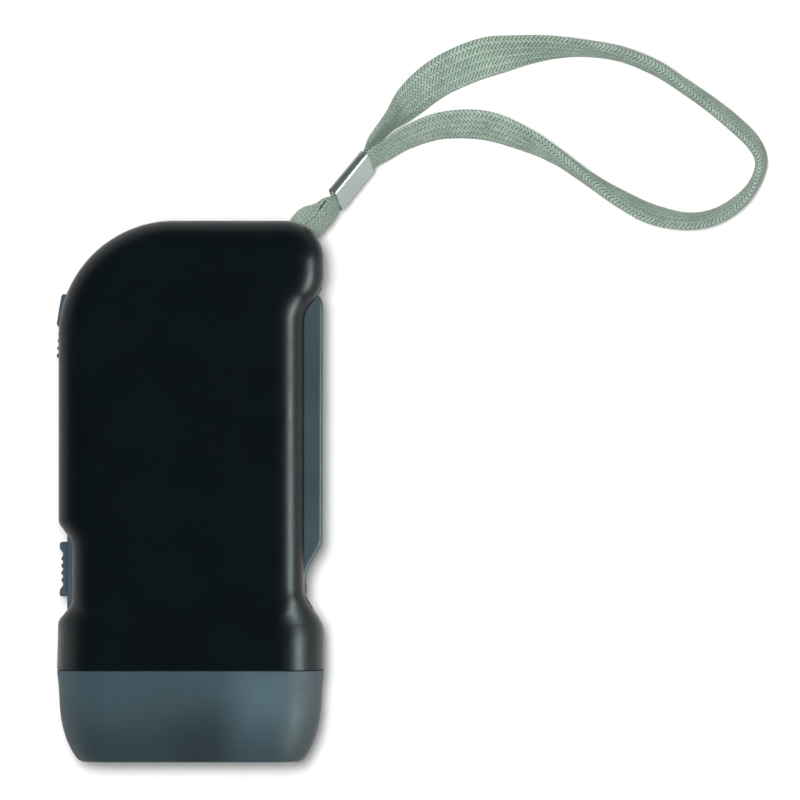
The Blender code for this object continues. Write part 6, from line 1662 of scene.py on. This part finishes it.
@dataclass
class Studio:
    """A pale floor, soft lamps and the camera straight over the photograph's middle.

    The sky's stops give the sine of a height over the horizon and a colour.
    """

    view_middle: tuple[float, float] = (40.81, 17.75)
    view_width: float = 156.0
    distance: float = 2700.0
    sensor: float = 36.0
    lamps: tuple[Lamp, ...] = (
        Lamp((-50.0, 75.0, 1600.0), (10.0, 10.0, 10.0), (200.0, 200.0), 24.0, (1.0, 1.0, 1.0), False),
        Lamp((950.0, -260.0, 290.0), (20.0, -260.0, 10.0), (720.0, 200.0), 19.0, (0.84, 1.0, 0.97), True))
    sky_stops: tuple[tuple[float, Corner], ...] = (
        (0.0, (0.32, 0.335, 0.35)), (0.12, (0.07, 0.075, 0.08)), (0.35, (0.03, 0.032, 0.035)),
        (0.9, (0.018, 0.02, 0.022)))
    sky_fill: float = 0.09
    floor_reach: float = 4000.0
    floor_drop: float = 0.02
    floor_greys: tuple[float, float] = (0.86, 0.87)
    floor_grain: float = 60.0
    floor_lift: float = 0.17

    def camera(self) -> None:
        """The camera, looking straight down with a long lens."""
        data = bpy.data.cameras.new("camera")
        data.sensor_width = self.sensor
        data.lens = self.sensor * self.distance / self.view_width
        data.clip_end = 100.0
        thing = bpy.data.objects.new("camera", data)
        bpy.context.scene.collection.objects.link(thing)
        thing.location = (self.view_middle[0] * MM, self.view_middle[1] * MM,
                          (MID_Z + self.distance) * MM)
        bpy.context.scene.camera = thing

    def lights(self) -> None:
        """The soft boxes, each turned to face its target."""
        for k, lamp in enumerate(self.lamps):
            data = bpy.data.lights.new(f"soft_box_{k}", "AREA")
            data.shape = "RECTANGLE"
            data.size, data.size_y = (side * MM for side in lamp.size)
            data.energy, data.color = lamp.power, lamp.colour
            thing = bpy.data.objects.new(data.name, data)
            bpy.context.scene.collection.objects.link(thing)
            thing.location = [c * MM for c in lamp.place]
            x, y, z = (float(a - b) for a, b in zip(lamp.place, lamp.target))
            thing.rotation_euler = (math.atan2(math.hypot(x, y), z), 0.0, math.atan2(x, -y))
            thing.visible_glossy, thing.visible_diffuse = lamp.gloss, not lamp.gloss

    def sky(self) -> None:
        """The sky: white to the camera, an even fill to matt surfaces, and to gloss pale low down."""
        world = bpy.data.worlds.new("studio")
        bpy.context.scene.world = world
        world.use_nodes = True
        nodes, links = world.node_tree.nodes, world.node_tree.links
        split = nodes.new("ShaderNodeSeparateXYZ")
        links.new(nodes.new("ShaderNodeTexCoord").outputs["Generated"], split.inputs[0])
        ramp = nodes.new("ShaderNodeValToRGB")
        links.new(split.outputs["Z"], ramp.inputs[0])
        stops = ramp.color_ramp.elements
        stops[0].position, stops[1].position = self.sky_stops[0][0], self.sky_stops[-1][0]
        inner = [stops.new(place) for place, _ in self.sky_stops[1:-1]]
        for stop, (_, colour) in zip((stops[0], *inner, stops[-1]), self.sky_stops):
            stop.color = (*colour, 1)
        path = nodes.new("ShaderNodeLightPath")
        colour = ramp.outputs[0]
        for ray, level in (("Is Diffuse Ray", self.sky_fill), ("Is Camera Ray", 1.0)):
            mix = nodes.new("ShaderNodeMix")
            mix.data_type = "RGBA"
            links.new(path.outputs[ray], mix.inputs[0])
            links.new(colour, mix.inputs[6])
            mix.inputs[7].default_value = (level, level, level, 1)
            colour = mix.outputs[2]
        links.new(colour, nodes["Background"].inputs[0])

    def floor(self) -> None:
        """A pale floor, lifted to white where the camera, gloss or glass sees it unshaded."""
        reach = self.floor_reach
        plan = [(-reach, -reach), (reach, -reach), (reach, reach), (-reach, reach)]
        points = np.array([(x, y, -self.floor_drop) for x, y in plan])
        thing = Bench.body("studio_floor", points, [[0, 1, 2, 3]])
        if thing.data.polygons[0].normal.z < 0:
            thing.data.flip_normals()
        wires = Wiring("studio_floor")
        path = wires.add("ShaderNodeLightPath").node.outputs
        seen = wires.maths("MAXIMUM", path["Is Camera Ray"], path["Is Transmission Ray"])
        seen = wires.maths("MAXIMUM", seen, path["Is Glossy Ray"])
        greys = ((grey, grey, grey, 1) for grey in self.floor_greys)
        wires.shade(Base_Color=wires.blend(wires.noise(self.floor_grain), *greys), Roughness=0.9,
                    Specular_IOR_Level=0.0, Emission_Color=(1, 1, 1, 1),
                    Emission_Strength=wires.maths("MULTIPLY", seen, self.floor_lift))
        thing.data.materials.append(wires.material)

    def build(self) -> None:
        """Sets the camera, the lamps, the sky, the floor and the plain view transform."""
        self.camera()
        self.lights()
        self.sky()
        self.floor()
        bpy.context.scene.view_settings.view_transform = "Standard"


def main() -> None:
    """Builds the studio and each sub-assembly in order."""
    logging.basicConfig(level=logging.INFO, format="%(name)s: %(message)s")
    Studio().build()
    LOG.info("studio set")
    dresser = Dresser()
    hidden: set[str] = set()
    for part in (WristStrap(), Housing(), HeadUnit(), PressLever(), Sliders()):
        hidden.update(part.build(dresser))
        LOG.info("%s built", type(part).__name__)
    dresser.dress_nodes(hidden)


if __name__ == "__main__":
    main()
